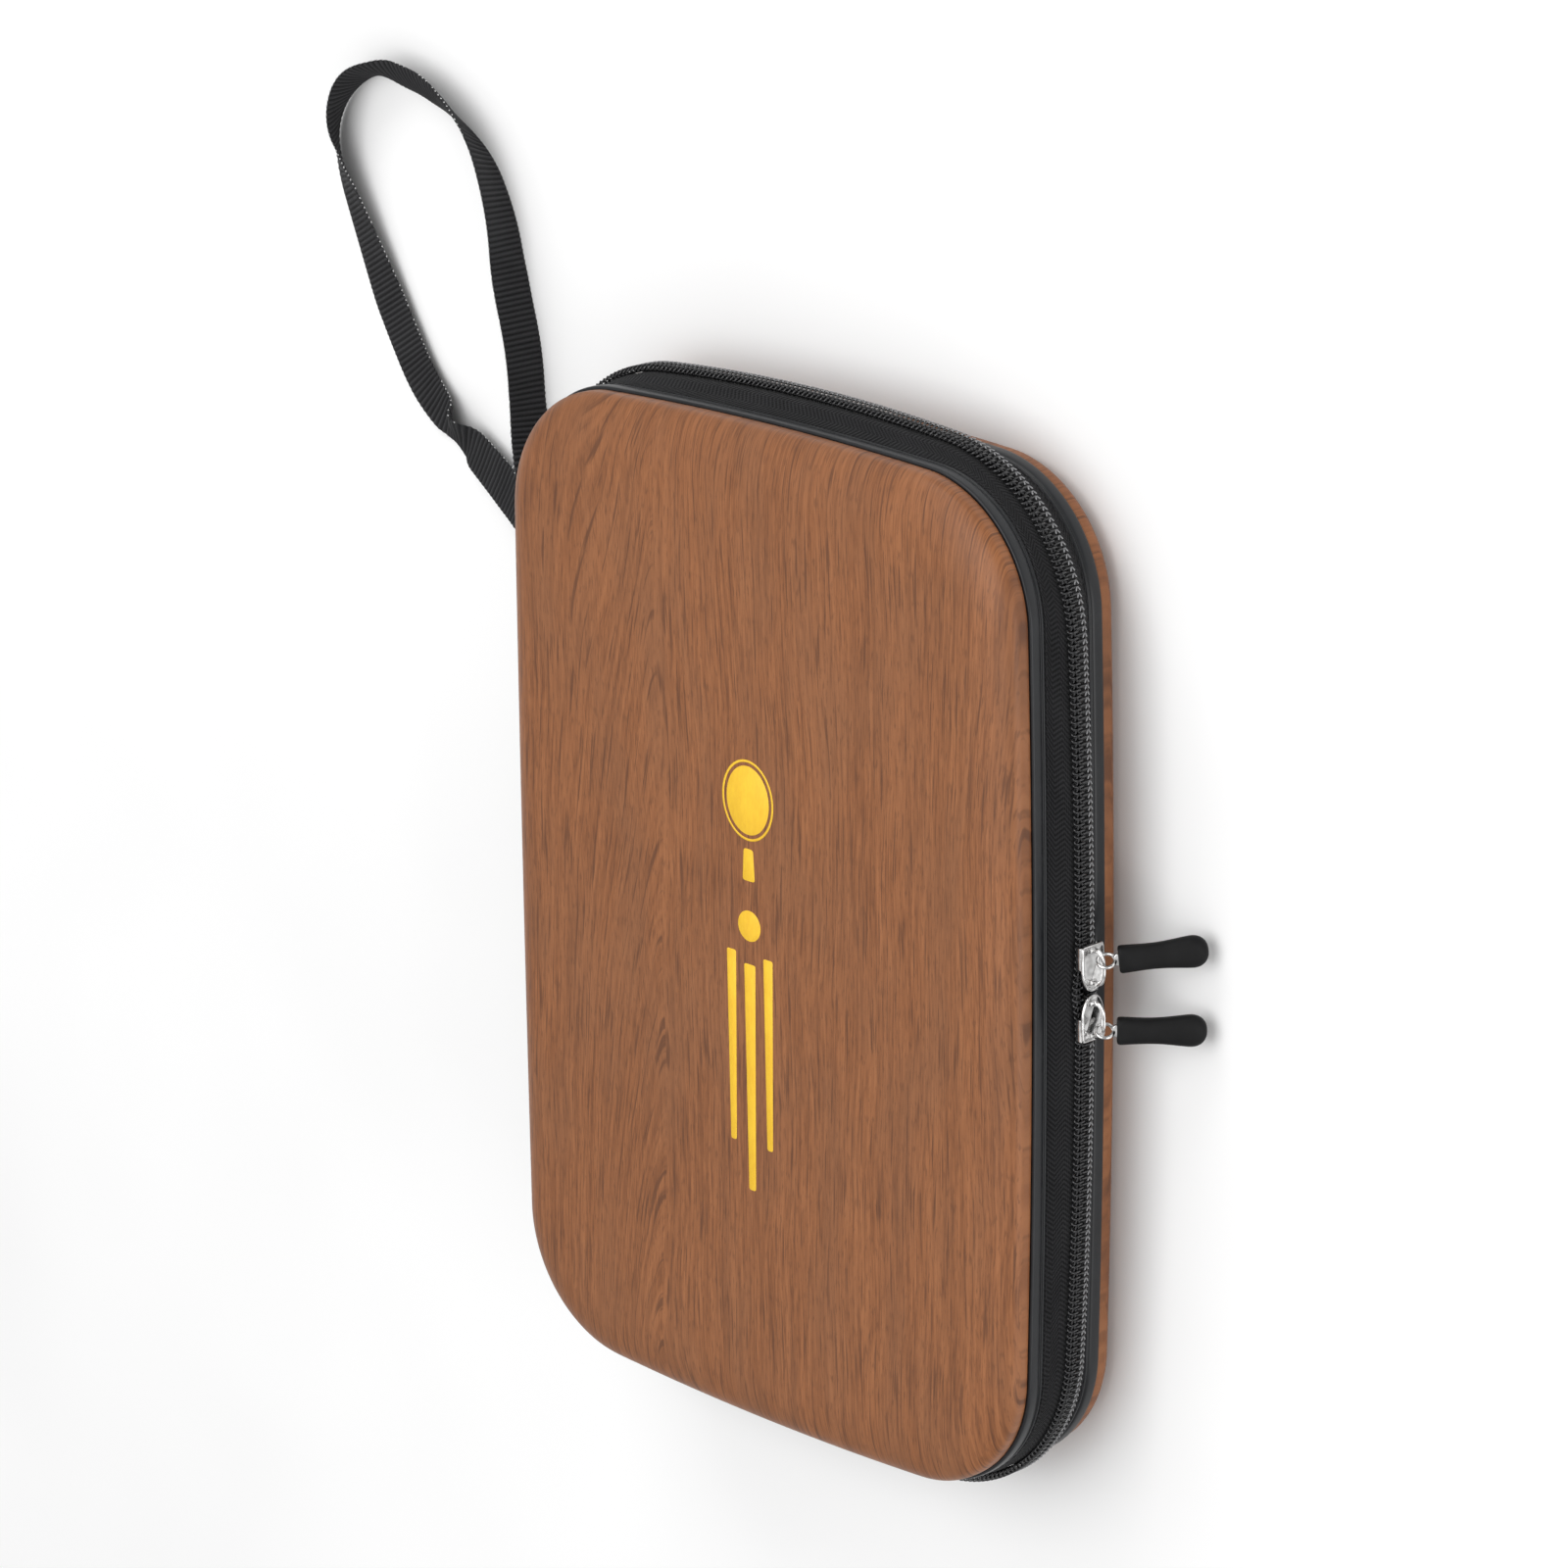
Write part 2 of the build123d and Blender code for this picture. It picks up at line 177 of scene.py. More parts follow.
def wood_finish(side):
    """Printed walnut film: half arches that end at a join left of the middle, then straight grain."""
    f = Finish("wood_print_" + side, Specular_IOR_Level=0.32)
    x, y, z = f.place()
    drift = f.noise(f.spread(x, y, z, (55, 150, 90)), 2.0)
    x = f.math("ADD", x, f.span(drift, -7.0, 7.0))
    across = f.math("SUBTRACT", -36.0, x)
    side_step = f.math("SQRT", f.math("MULTIPLY_ADD", across, across, 20.0))
    reach = f.math("POWER", f.math("DIVIDE", side_step, 34.0), 4.0)
    climb = f.math("DIVIDE", f.math("MULTIPLY", y, 0.20), f.math("ADD", reach, 1.0))
    arched = f.math("GREATER_THAN", across, 0.0)
    ring = f.math("MULTIPLY_ADD", climb, arched, side_step)
    lines = f.noise(f.spread(ring, y, 3.0, (1.25, 46, 1)), 3.0, 0.6)
    fibres = f.noise(f.spread(x, y, 7.0, (0.55, 11, 1)), 3.0, 0.6)
    bands = f.noise(f.spread(ring, y, 11.0, (7.5, 190, 1)), 1.5)
    clouds = f.noise(f.spread(x, y, 15.0, (14, 60, 1)), 2.0)
    pores = f.noise(f.spread(x, y, 19.0, (0.55, 4.4, 1)), 2.0, 0.5)
    streaks = f.noise(f.spread(ring, y, 23.0, (0.85, 26, 1)), 2.0, 0.5)
    tone = f.math("MULTIPLY_ADD", lines, 0.42, f.math("MULTIPLY", fibres, 0.40))
    tone = f.math("MULTIPLY_ADD", bands, 0.18, tone)
    colour = f.ramp(tone, [
        (0.40, (0.172, 0.062, 0.023)), (0.465, (0.222, 0.082, 0.030)),
        (0.52, (0.262, 0.099, 0.037)), (0.60, (0.312, 0.122, 0.047))])
    grey = f.ramp(clouds, [(0.42, (0, 0, 0)), (0.68, (0.4, 0.4, 0.4))])
    colour = f.mix(grey, colour, (0.212, 0.091, 0.042, 1.0))
    streak_mask = f.ramp(streaks, [(0.575, (0, 0, 0)), (0.655, (0.75, 0.75, 0.75))])
    colour = f.mix(streak_mask, colour, (0.105, 0.040, 0.018, 1.0))
    pore_mask = f.ramp(pores, [(0.56, (0, 0, 0)), (0.67, (0.45, 0.45, 0.45))])
    colour = f.mix(pore_mask, colour, (0.100, 0.038, 0.016, 1.0))
    rough = f.span(fibres, 0.38, 0.54)
    height = f.math("SUBTRACT", f.math("MULTIPLY", fibres, 0.5), pore_mask)
    return f.finish(colour, rough, height, 0.04, 0.5)


def rubber_finish(name, dark, light, rough, grain, depth, specular=0.5):
    """Black rubber with a fine cast skin and a little dust in its tone."""
    f = Finish(name, Specular_IOR_Level=specular)
    x, y, z = f.place()
    skin = f.noise(f.spread(x, y, z, (grain, grain, grain)), 3.0)
    dust = f.noise(f.spread(x, y, z, (9, 9, 9)), 4.0, 0.65)
    colour = f.ramp(dust, [(0.35, dark), (0.7, light)])
    return f.finish(colour, f.span(dust, rough - 0.06, rough + 0.08), skin, depth, 0.6)


def weave_finish(name, dark, light, kind, depth=0.16, rough=0.82, sheen=0.06):
    """Woven or knitted black fabric, laid out along the piece by its UV map."""
    f = Finish(name, Specular_IOR_Level=0.14, Sheen_Weight=sheen, Sheen_Roughness=0.45)
    u, v, w = f.place("UV")
    if kind == "herringbone":
        zigzag = f.math("MULTIPLY", f.math("PINGPONG", v, 2.6), 1.1)
        rib = f.wave(f.math("ADD", u, zigzag), 1.45)
        yarn = f.wave(v, 0.5)
    elif kind == "rib":
        rib = f.wave(v, 0.62)
        yarn = f.wave(f.math("MULTIPLY_ADD", v, 0.6, u), 0.55)
    elif kind == "webbing":
        rib = f.wave(f.math("ADD", v, RIB / 4), RIB)
        yarn = f.wave(f.math("MULTIPLY_ADD", v, 0.4, u), 0.5)
    elif kind == "knit":
        zigzag = f.math("PINGPONG", u, 0.45)
        rib = f.wave(f.math("ADD", v, zigzag), 0.9)
        yarn = f.wave(u, 0.9)
    else:
        rib = f.wave(u, 0.9)
        yarn = f.wave(v, 0.9)
    cloth = f.math("MULTIPLY_ADD", yarn, 0.35, f.math("MULTIPLY", rib, 0.65))
    fuzz = f.noise(f.spread(u, v, w, (0.35, 0.35, 1)), 3.0, 0.7)
    worn = f.noise(f.spread(u, v, w, (16, 7, 1)), 3.0)
    tone = f.math("MULTIPLY_ADD", fuzz, 0.35, f.math("MULTIPLY", cloth, 0.5))
    tone = f.math("MULTIPLY_ADD", worn, 0.22, tone)
    colour = f.ramp(tone, [(0.25, dark), (0.85, light)])
    height = f.math("MULTIPLY_ADD", fuzz, 0.3, cloth)
    return f.finish(colour, f.span(fuzz, rough - 0.08, rough + 0.1), height, depth, 0.9)


def metal_finish():
    """Bright nickel plate with hairlines and a slight cloudiness."""
    f = Finish("nickel_plate", Metallic=1.0)
    x, y, z = f.place()
    cloud = f.noise(f.spread(x, y, z, (2.4, 2.4, 2.4)), 1.0)
    hair = f.noise(f.spread(x, y, z, (0.16, 2.6, 0.16)), 2.0)
    colour = f.ramp(cloud, [(0.36, (0.50, 0.495, 0.49)), (0.64, (0.80, 0.795, 0.79))])
    return f.finish(colour, f.span(cloud, 0.08, 0.22), hair, 0.006, 0.3)


def nylon_finish():
    f = Finish("nylon_coil", Specular_IOR_Level=0.6, Coat_Weight=0.25, Coat_Roughness=0.12)
    x, y, z = f.place()
    cloud = f.noise(f.spread(x, y, z, (0.9, 0.9, 0.9)), 2.0)
    colour = f.ramp(cloud, [(0.35, (0.008, 0.008, 0.009)), (0.7, (0.022, 0.022, 0.024))])
    return f.finish(colour, f.span(cloud, 0.2, 0.36), cloud, 0.02, 0.3)


def lining_finish():
    """Brushed tricot over foam."""
    f = Finish("brushed_lining", Specular_IOR_Level=0.2, Sheen_Weight=0.5, Sheen_Roughness=0.4)
    x, y, z = f.place()
    nap = f.noise(f.spread(x, y, z, (0.5, 0.9, 0.5)), 4.0, 0.7)
    brushed = f.noise(f.spread(x, y, z, (14, 22, 14)), 3.0)
    tone = f.math("MULTIPLY_ADD", nap, 0.6, f.math("MULTIPLY", brushed, 0.4))
    colour = f.ramp(tone, [(0.3, (0.020, 0.020, 0.022)), (0.75, (0.055, 0.055, 0.060))])
    return f.finish(colour, f.span(nap, 0.8, 1.0), nap, 0.16, 0.8)


def ink_finish():
    """Screen-printed yellow ink, slightly uneven over the film."""
    f = Finish("yellow_ink", Specular_IOR_Level=0.4)
    x, y, z = f.place()
    cover = f.noise(f.spread(x, y, z, (0.7, 2.4, 0.7)), 3.0)
    wide = f.noise(f.spread(x, y, z, (9, 14, 9)), 2.0)
    tone = f.math("MULTIPLY_ADD", cover, 0.5, f.math("MULTIPLY", wide, 0.5))
    colour = f.ramp(tone, [(0.3, (0.78, 0.44, 0.022)), (0.7, (0.90, 0.57, 0.034))])
    return f.finish(colour, f.span(cover, 0.42, 0.6), cover, 0.02, 0.5)


def floor_finish():
    f = Finish("pale_floor", Specular_IOR_Level=0.15)
    x, y, z = f.place()
    tone = f.noise(f.spread(x, y, z, (180, 180, 180)), 2.0)
    colour = f.ramp(tone, [(0.3, (0.86, 0.86, 0.86)), (0.7, (0.90, 0.90, 0.90))])
    return f.finish(colour, f.span(tone, 0.7, 0.85))


WOOD = {side: wood_finish(side) for side in ("base", "lid")}
FOAM = rubber_finish("foam_core", (0.010, 0.010, 0.011), (0.022, 0.022, 0.024), 0.75, 0.5, 0.08)
# The welt's blue-grey tint is painted sheen, a reflection laid into the black rubber's colour; the dust in
# its tone is its own
WELT_WITH_PAINTED_SHEEN = rubber_finish("rubber_welt", (0.0060, 0.0068, 0.0085), (0.011, 0.0122, 0.0145),
                     0.36, 0.25, 0.015, 0.40)
SLEEVE = rubber_finish("pull_rubber", (0.0028, 0.0028, 0.0030), (0.0062, 0.0062, 0.0066),
                       0.55, 0.22, 0.03, 0.20)
TAPE = weave_finish("zip_tape", (0.0010, 0.0010, 0.0012), (0.030, 0.030, 0.032), "herringbone", 0.35)
SPINE = weave_finish("spine_fabric", (0.003, 0.003, 0.0033), (0.024, 0.024, 0.026), "plain", 0.18)
BINDING = weave_finish("seam_binding", (0.004, 0.004, 0.0044), (0.026, 0.026, 0.028), "rib", 0.16)
WEBBING = weave_finish("webbing", (0.0015, 0.0015, 0.0017), (0.050, 0.050, 0.053), "webbing", 0.12, 0.7, 0.03)
ELASTIC = weave_finish("elastic", (0.008, 0.008, 0.009), (0.034, 0.034, 0.037), "knit", 0.16)
THREAD = weave_finish("black_thread", (0.010, 0.010, 0.011), (0.045, 0.045, 0.048), "rib", 0.04, 0.6)
PALE_THREAD = weave_finish("pale_thread", (0.30, 0.30, 0.30), (0.75, 0.75, 0.75), "rib", 0.04, 0.5)
# The base half's pale coil thread is painted highlight: it stands in for glints on the coil's turns. The lid
# half's dark thread is the thread's own colour.
COIL_THREAD_AND_PAINTED_HIGHLIGHT = {
    "base": weave_finish("base_coil_thread_painted_highlight", (0.08, 0.08, 0.082), (0.42, 0.42, 0.43), "rib", 0.04, 0.5),
    "lid": weave_finish("lid_coil_thread", (0.012, 0.012, 0.013), (0.09, 0.09, 0.093), "rib", 0.04, 0.5)}
NET = weave_finish("net_thread", (0.010, 0.010, 0.011), (0.040, 0.040, 0.043), "rib", 0.05, 0.65)
METAL = metal_finish()
NYLON = nylon_finish()
LINING = lining_finish()
INK = ink_finish()


# ---------------------------------------------------------------- mesh tools

def quads(rows, cols, close_rows=False, close_cols=False):
    """Quads over a grid of points, and the same quads over a table one row and column larger."""
    down = np.arange(rows if close_rows else rows - 1)
    along = np.arange(cols if close_cols else cols - 1)
    r, c = (a.ravel() for a in np.meshgrid(down, along, indexing="ij"))
    corners = ((r, c), (r, c + 1), (r + 1, c + 1), (r + 1, c))
    faces = np.stack([(a % rows) * cols + b % cols for a, b in corners], 1)
    spots = np.stack([a * (cols + 1) + b for a, b in corners], 1)
    return faces, spots


def distances(line, closed):
    """Distance along a line of points, with the closing step."""
    steps = np.linalg.norm(np.roll(line, -1, 0) - line, axis=1)
    if not closed:
        steps[-1] = 0
    return np.concatenate([[0], np.cumsum(steps)])


class Sketch:
    """Collects surfaces in millimetres and makes one mesh object of them."""

    def __init__(self):
        self.points, self.faces, self.uvs, self.slots = [], [], [], []
        self.count = 0

    def add(self, points, faces, uvs, slot=0):
        """Points (n, 3), faces as lists of indices, and one uv for each face corner."""
        self.points.append(np.asarray(points, float))
        self.faces.extend([[i + self.count for i in face] for face in faces])
        self.uvs.append(np.asarray(uvs, float).reshape(-1, 2))
        self.slots.extend([slot] * len(faces))
        self.count += len(points)

    def surface(self, table, close_rows=False, close_cols=False, caps=(), slot=0):
        """A grid of points (rows, cols, 3). caps names the end rows, 0 and -1, that are closed."""
        rows, cols = table.shape[:2]
        faces, spots = quads(rows, cols, close_rows, close_cols)
        u = distances(table[rows // 2], close_cols)
        v = distances(table[:, cols // 2], close_rows)
        grid = np.stack(np.meshgrid(u, v), -1).reshape(-1, 2)
        uvs = [grid[spots].reshape(-1, 2)]
        faces = faces.tolist()
        for row in caps:
            edge = list(range(cols)) if row == 0 else list(range((rows - 1) * cols, rows * cols))
            faces.append(edge[::-1] if row == 0 else edge)
            flat = table[row][:, :2]
            uvs.append(flat[::-1] if row == 0 else flat)
        self.add(table.reshape(-1, 3), faces, np.concatenate(uvs), slot)

    def make(self, name, body, slot, finishes, replaces=(), lid=False):
        """The object, its faces outwards but for the lining. lid mirrors it about the mid-plane."""
        points = np.concatenate(self.points)
        if lid:
            points = points * (1, 1, -1) + (0, 0, TOP)
        mesh = bpy.data.meshes.new(name)
        mesh.from_pydata((points * MM).tolist(), [], self.faces)
        layer = mesh.uv_layers.new(name="UVMap")
        layer.data.foreach_set("uv", np.concatenate(self.uvs).astype(np.float32).ravel())
        mesh.polygons.foreach_set("material_index", self.slots)
        mesh.polygons.foreach_set("use_smooth", [True] * len(mesh.polygons))
        inwards = slot == "lining_fabric"  # the lining's faces are left pointing inwards
        if body is not None and (self.volume(points) < 0) != inwards:
            mesh.flip_normals()
        finishes = finishes if isinstance(finishes, (list, tuple)) else [finishes]
        for finish in finishes:
            mesh.materials.append(finish)
        made = bpy.data.objects.new(name, mesh)
        bpy.context.scene.collection.objects.link(made)
        if body:
            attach(made, body)
        if replaces:
            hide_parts(*replaces)
        return made

    def volume(self, points):
        """Volume inside the faces: negative where they face inwards."""
        fans = [(f[0], b, c) for f in self.faces for b, c in zip(f[1:], f[2:])]
        a, b, c = (points - points.mean(0))[np.array(fans)].transpose(1, 0, 2)
        return np.einsum("ij,ij->", a, np.cross(b, c)) / 6


def unit(vectors):
    return vectors / np.maximum(np.linalg.norm(vectors, axis=-1, keepdims=True), 1e-12)


def moved(matrix, points):
    """Points put through a 4x4 matrix."""
    m = np.array(matrix, float)
    return points @ m[:3, :3].T + m[:3, 3]


def tube(sketch, line, across, along=None, sides=8, closed=False, matrix=None):
    """Round or oval tube along a line of points; across and along are its half-widths."""
    line = np.asarray(line, float)
    along = across if along is None else along
    tangents = np.roll(line, -1, 0) - np.roll(line, 1, 0)
    if not closed:
        tangents[0], tangents[-1] = line[1] - line[0], line[-1] - line[-2]
    tangents = unit(tangents)
    first = np.cross(tangents[0], (0.0, 0.0, 1.0))
    if np.linalg.norm(first) < 0.2:
        first = np.cross(tangents[0], (1.0, 0.0, 0.0))
    normals = np.empty_like(line)
    current = unit(first)
    for number, tangent in enumerate(tangents):
        current = unit(current - tangent * (current @ tangent))
        normals[number] = current
    others = np.cross(tangents, normals)
    angles = np.linspace(0, 2 * math.pi, sides, endpoint=False)
    wide = np.cos(angles)[None, :, None] * normals[:, None] * across
    tall = np.sin(angles)[None, :, None] * others[:, None] * along
    table = line[:, None] + wide + tall
    if matrix is not None:
        table = moved(matrix, table.reshape(-1, 3)).reshape(table.shape)
    sketch.surface(table, close_rows=closed, close_cols=True, caps=() if closed else (0, -1))


def pillow(sketch, outline, stations, matrix=Matrix.Identity(4)):
    """Closed flat outline (n, 2) raised through stations of (height, inset), capped at both ends."""
    ahead, behind = np.roll(outline, -1, 0), np.roll(outline, 1, 0)
    edge = unit(ahead - behind)
    inward = np.stack([-edge[:, 1], edge[:, 0]], 1)
    rings = []
    for height, inset in stations:
        flat = outline + inward * inset
        rings.append(np.column_stack([flat, np.full(len(flat), height)]))
    table = np.array(rings)
    table = moved(matrix, table.reshape(-1, 3)).reshape(table.shape)
    sketch.surface(table, close_cols=True, caps=(0, -1))


def rounded(points, radius, steps=6):
    """Closed counter-clockwise outline with each corner of a polygon rounded."""
    points = [np.array(p, float) for p in points]
    made = []
    for number, here in enumerate(points):
        back = points[number - 1] - here
        on = points[(number + 1) % len(points)] - here
        reach = min(radius, 0.48 * np.linalg.norm(back), 0.48 * np.linalg.norm(on))
        start, stop = here + unit(back) * reach, here + unit(on) * reach
        for t in np.linspace(0, 1, steps):
            made.append((1 - t) ** 2 * start + 2 * t * (1 - t) * here + t * t * stop)
    return np.array(made)


def box_outline(width, height, radius, steps=5):
    w, h = width / 2, height / 2
    return rounded([(-w, -h), (w, -h), (w, h), (-w, h)], radius, steps)


def soft_edges(low, high, bevel):
    """Stations of a pillow with rounded edges top and bottom."""
    return [(low, bevel), (low + 0.3 * bevel, 0.3 * bevel), (low + bevel, 0),
            (high - bevel, 0), (high - 0.3 * bevel, 0.3 * bevel), (high, bevel)]


def dashes(sketch, starts, stops, radius):
    """Many short round-ended threads, from starts to stops."""
    starts, stops = np.asarray(starts, float), np.asarray(stops, float)
    axis = stops - starts
    length = np.linalg.norm(axis, axis=1)
    axis = unit(axis)
    helper = np.where(np.abs(axis[:, 2:]) > 0.8, (1.0, 0.0, 0.0), (0.0, 0.0, 1.0))
    side = unit(np.cross(axis, helper))
    other = np.cross(axis, side)
    angles = np.linspace(0, 2 * math.pi, 6, endpoint=False)
    profile = [(0.0, 0.45), (0.12, 0.95), (0.5, 1.12), (0.88, 0.95), (1.0, 0.45)]
    rings = []
    for share, swell in profile:
        centre = starts + axis * (length * share)[:, None]
        ring = centre[:, None] + radius * swell * (
            np.cos(angles)[None, :, None] * side[:, None] + np.sin(angles)[None, :, None] * other[:, None])
        rings.append(ring)
    table = np.stack(rings, 1)
    faces, _ = quads(len(profile), 6, close_cols=True)
    faces = faces.tolist() + [list(range(6))[::-1], list(range(24, 30))]
    uv_one = [(i * 0.3, j * 0.4) for j in range(len(faces) - 2) for i in range(4)]
    uv_one += [(i * 0.2, 0.0) for i in range(12)]
    many = []
    for number in range(len(starts)):
        many.extend([[i + 30 * number for i in face] for face in faces])
    sketch.add(table.reshape(-1, 3), many, uv_one * len(starts))


# ---------------------------------------------------------------- the case's loops

def circle_through(a, b, c):
    """Centre and radius of the circle through three points."""
    m = np.array([b - a, c - a])
    centre = np.linalg.solve(2 * m, [b @ b - a @ a, c @ c - a @ a])
    return centre, np.linalg.norm(a - centre)


def meeting(c1, r1, c2, r2, near):
    """Crossing of two circles that is nearest to a point."""
    gap = c2 - c1
    d = np.linalg.norm(gap)
    a = (r1 ** 2 - r2 ** 2 + d ** 2) / (2 * d)
    h = math.sqrt(r1 ** 2 - a ** 2)
    foot = c1 + gap * a / d
    side = np.array([-gap[1], gap[0]]) / d * h
    return min((foot + side, foot - side), key=lambda p: np.linalg.norm(p - near))


def rounded_loop(left, right, top, middles, radius):
    """Four shallow arcs with rounded corners: points and outward normals, from the spine's middle."""
    corners = [np.array(p, float) for p in ((left, -top), (right, -top), (right, top), (left, top))]
    circles = []
    for number, middle in enumerate(middles):
        circles.append(circle_through(corners[number], np.array(middle, float), corners[(number + 1) % 4]))
    rounds, tangents = [], []
    for number in range(4):
        (c1, r1), (c2, r2) = circles[number], circles[(number + 1) % 4]
        centre = meeting(c1, r1 - radius, c2, r2 - radius, corners[(number + 1) % 4])
        rounds.append(centre)
        tangents.append((c1 + unit(centre - c1) * r1, c2 + unit(centre - c2) * r2))
    points, normals = [], []
    for number in range(4):
        count = 72 if number % 2 == 0 else 96
        arcs = [
            (circles[number][0], circles[number][1], tangents[number - 1][1], tangents[number][0], count),
            (rounds[number], radius, tangents[number][0], tangents[number][1], 28)]
        for centre, size, start, stop, steps in arcs:
            a0 = math.atan2(*(start - centre)[::-1])
            a1 = math.atan2(*(stop - centre)[::-1])
            angles = np.linspace(a0, a1 + (2 * math.pi if a1 < a0 else 0), steps, endpoint=False)
            normal = np.column_stack([np.cos(angles), np.sin(angles)])
            points.append(centre + size * normal)
            normals.append(normal)
    shift = -(72 + 28 + 96 + 28 + 72 + 28 + 48)
    return np.roll(np.concatenate(points), shift, 0), np.roll(np.concatenate(normals), shift, 0)


def outline(grow):
    """The shells' outline, moved outwards by grow."""
    end = END + grow
    middles = [(0, -end), (ZIP_X + grow, 0), (0, end), (SPINE_X - grow, 0)]
    return rounded_loop(SPINE_X + SPINE_BOW - grow, ZIP_X - ZIP_BOW + grow, end - END_BOW,
                        middles, CORNER + grow)


def ridge(grow):
    """The zip's ridge at the middle of the coil, moved outwards by grow."""
    end = END + OUT_END + grow
    zip_side, spine_side = ZIP_X + OUT_ZIP + grow, SPINE_X - OUT_SPINE - grow
    middles = [(0, -end), (zip_side, 0), (0, end), (spine_side, 0)]
    return rounded_loop(spine_side + SPINE_BOW, ZIP_X - ZIP_BOW + OUT_CORNER + grow,
                        END - END_BOW + OUT_CORNER + grow, middles, RIDGE_CORNER + grow)


def level(loop, z):
    """A loop's points at a height."""
    points = loop[0]
    return np.column_stack([points, np.full(len(points), z)])


def between(first, second, share, z, swell=0.0):
    """A ring part of the way from one loop to another."""
    points = first[0] * (1 - share) + second[0] * share + first[1] * swell
    return np.column_stack([points, np.full(len(points), z)])


class Track:
    """A loop that can be asked for its place at any distance along it."""

    def __init__(self, loop):
        self.points, self.normals = loop
        self.marks = distances(self.points, True)
        self.length = self.marks[-1]

    def at(self, s):
        s = np.asarray(s, float) % self.length
        wide = np.vstack([self.points, self.points[:1]])
        turned = np.vstack([self.normals, self.normals[:1]])
        spot = np.column_stack([np.interp(s, self.marks, wide[:, k]) for k in (0, 1)])
        normal = np.column_stack([np.interp(s, self.marks, turned[:, k]) for k in (0, 1)])
        return spot, unit(normal)

    def place(self, s, out, z):
        """Points at distance s, moved outwards by out, at height z."""
        spot, normal = self.at(s)
        out = np.broadcast_to(out, (len(spot),))
        z = np.broadcast_to(z, (len(spot),))
        return np.column_stack([spot + normal * out[:, None], z])


def parting(x, y):
    """How far each half of the zip stands off the middle, between the sliders' noses."""
    return np.where(x > 0, PARTING_HEIGHT * np.exp(-((y - MEET_Y) / PARTING_REACH) ** 2), 0.0)


# ---------------------------------------------------------------- wrist strap

STRAP_ROUTE = [
    (-0.1056, 0.1000, 0.0165), (-0.1150, 0.1010, 0.0144), (-0.1280, 0.1080, 0.0098),
    (-0.1345, 0.1230, 0.0072), (-0.1355, 0.1420, 0.0070), (-0.1415, 0.1630, 0.0070),
    (-0.1445, 0.1820, 0.0070), (-0.1540, 0.2015, 0.0064), (-0.1720, 0.2125, 0.0052),
    (-0.1900, 0.2175, 0.0050), (-0.2070, 0.2175, 0.0066), (-0.2195, 0.2030, 0.0064),
    (-0.2215, 0.1880, 0.0044), (-0.2125, 0.1680, 0.0028), (-0.1990, 0.1425, 0.0025),
    (-0.1845, 0.1195, 0.0025), (-0.1630, 0.1060, 0.0028), (-0.1430, 0.0950, 0.0050),
    (-0.1250, 0.0870, 0.0110), (-0.1130, 0.0843, 0.0150), (-0.1056, 0.0840, 0.0165)]
# Lean of the webbing in degrees by place: 0 stands on edge, 90 lies flat
STRAP_LEAN = [
    (-105.6, 100, 90), (-112, 100.6, 86), (-121, 103.5, 55), (-130, 111, 14), (-135, 124, 0),
    (-141, 163, 0), (-149, 194, -20), (-158, 204, -32), (-164, 208, -40), (-179, 213, -52),
    (-193, 217, -47), (-201, 217.5, -20), (-212, 213, 0), (-219, 201, 30), (-220, 192, 49),
    (-217, 178, 65), (-210, 163, 76), (-201, 147, 88), (-186, 122, 90), (-177, 113.5, 82),
    (-172.5, 110.5, 52), (-169, 108.5, 58), (-164, 106.5, 86), (-147, 97, 93), (-105.6, 84, 90)]


def strap_line():
    """Points along the route's NURBS spline, in millimetres."""
    curve = bpy.data.curves.new("strap_route", "CURVE")
    curve.dimensions = "3D"
    spline = curve.splines.new("NURBS")
    spline.points.add(len(STRAP_ROUTE) - 1)
    for point, place in zip(spline.points, STRAP_ROUTE):
        point.co = (*place, 1.0)
    spline.order_u = 3
    spline.use_endpoint_u = True
    curve.resolution_u = 40
    holder = bpy.data.objects.new("strap_route", curve)
    mesh = bpy.data.meshes.new_from_object(holder)
    points = np.array([v.co for v in mesh.vertices]) / MM
    bpy.data.objects.remove(holder)
    bpy.data.curves.remove(curve)
    bpy.data.meshes.remove(mesh)
    return points


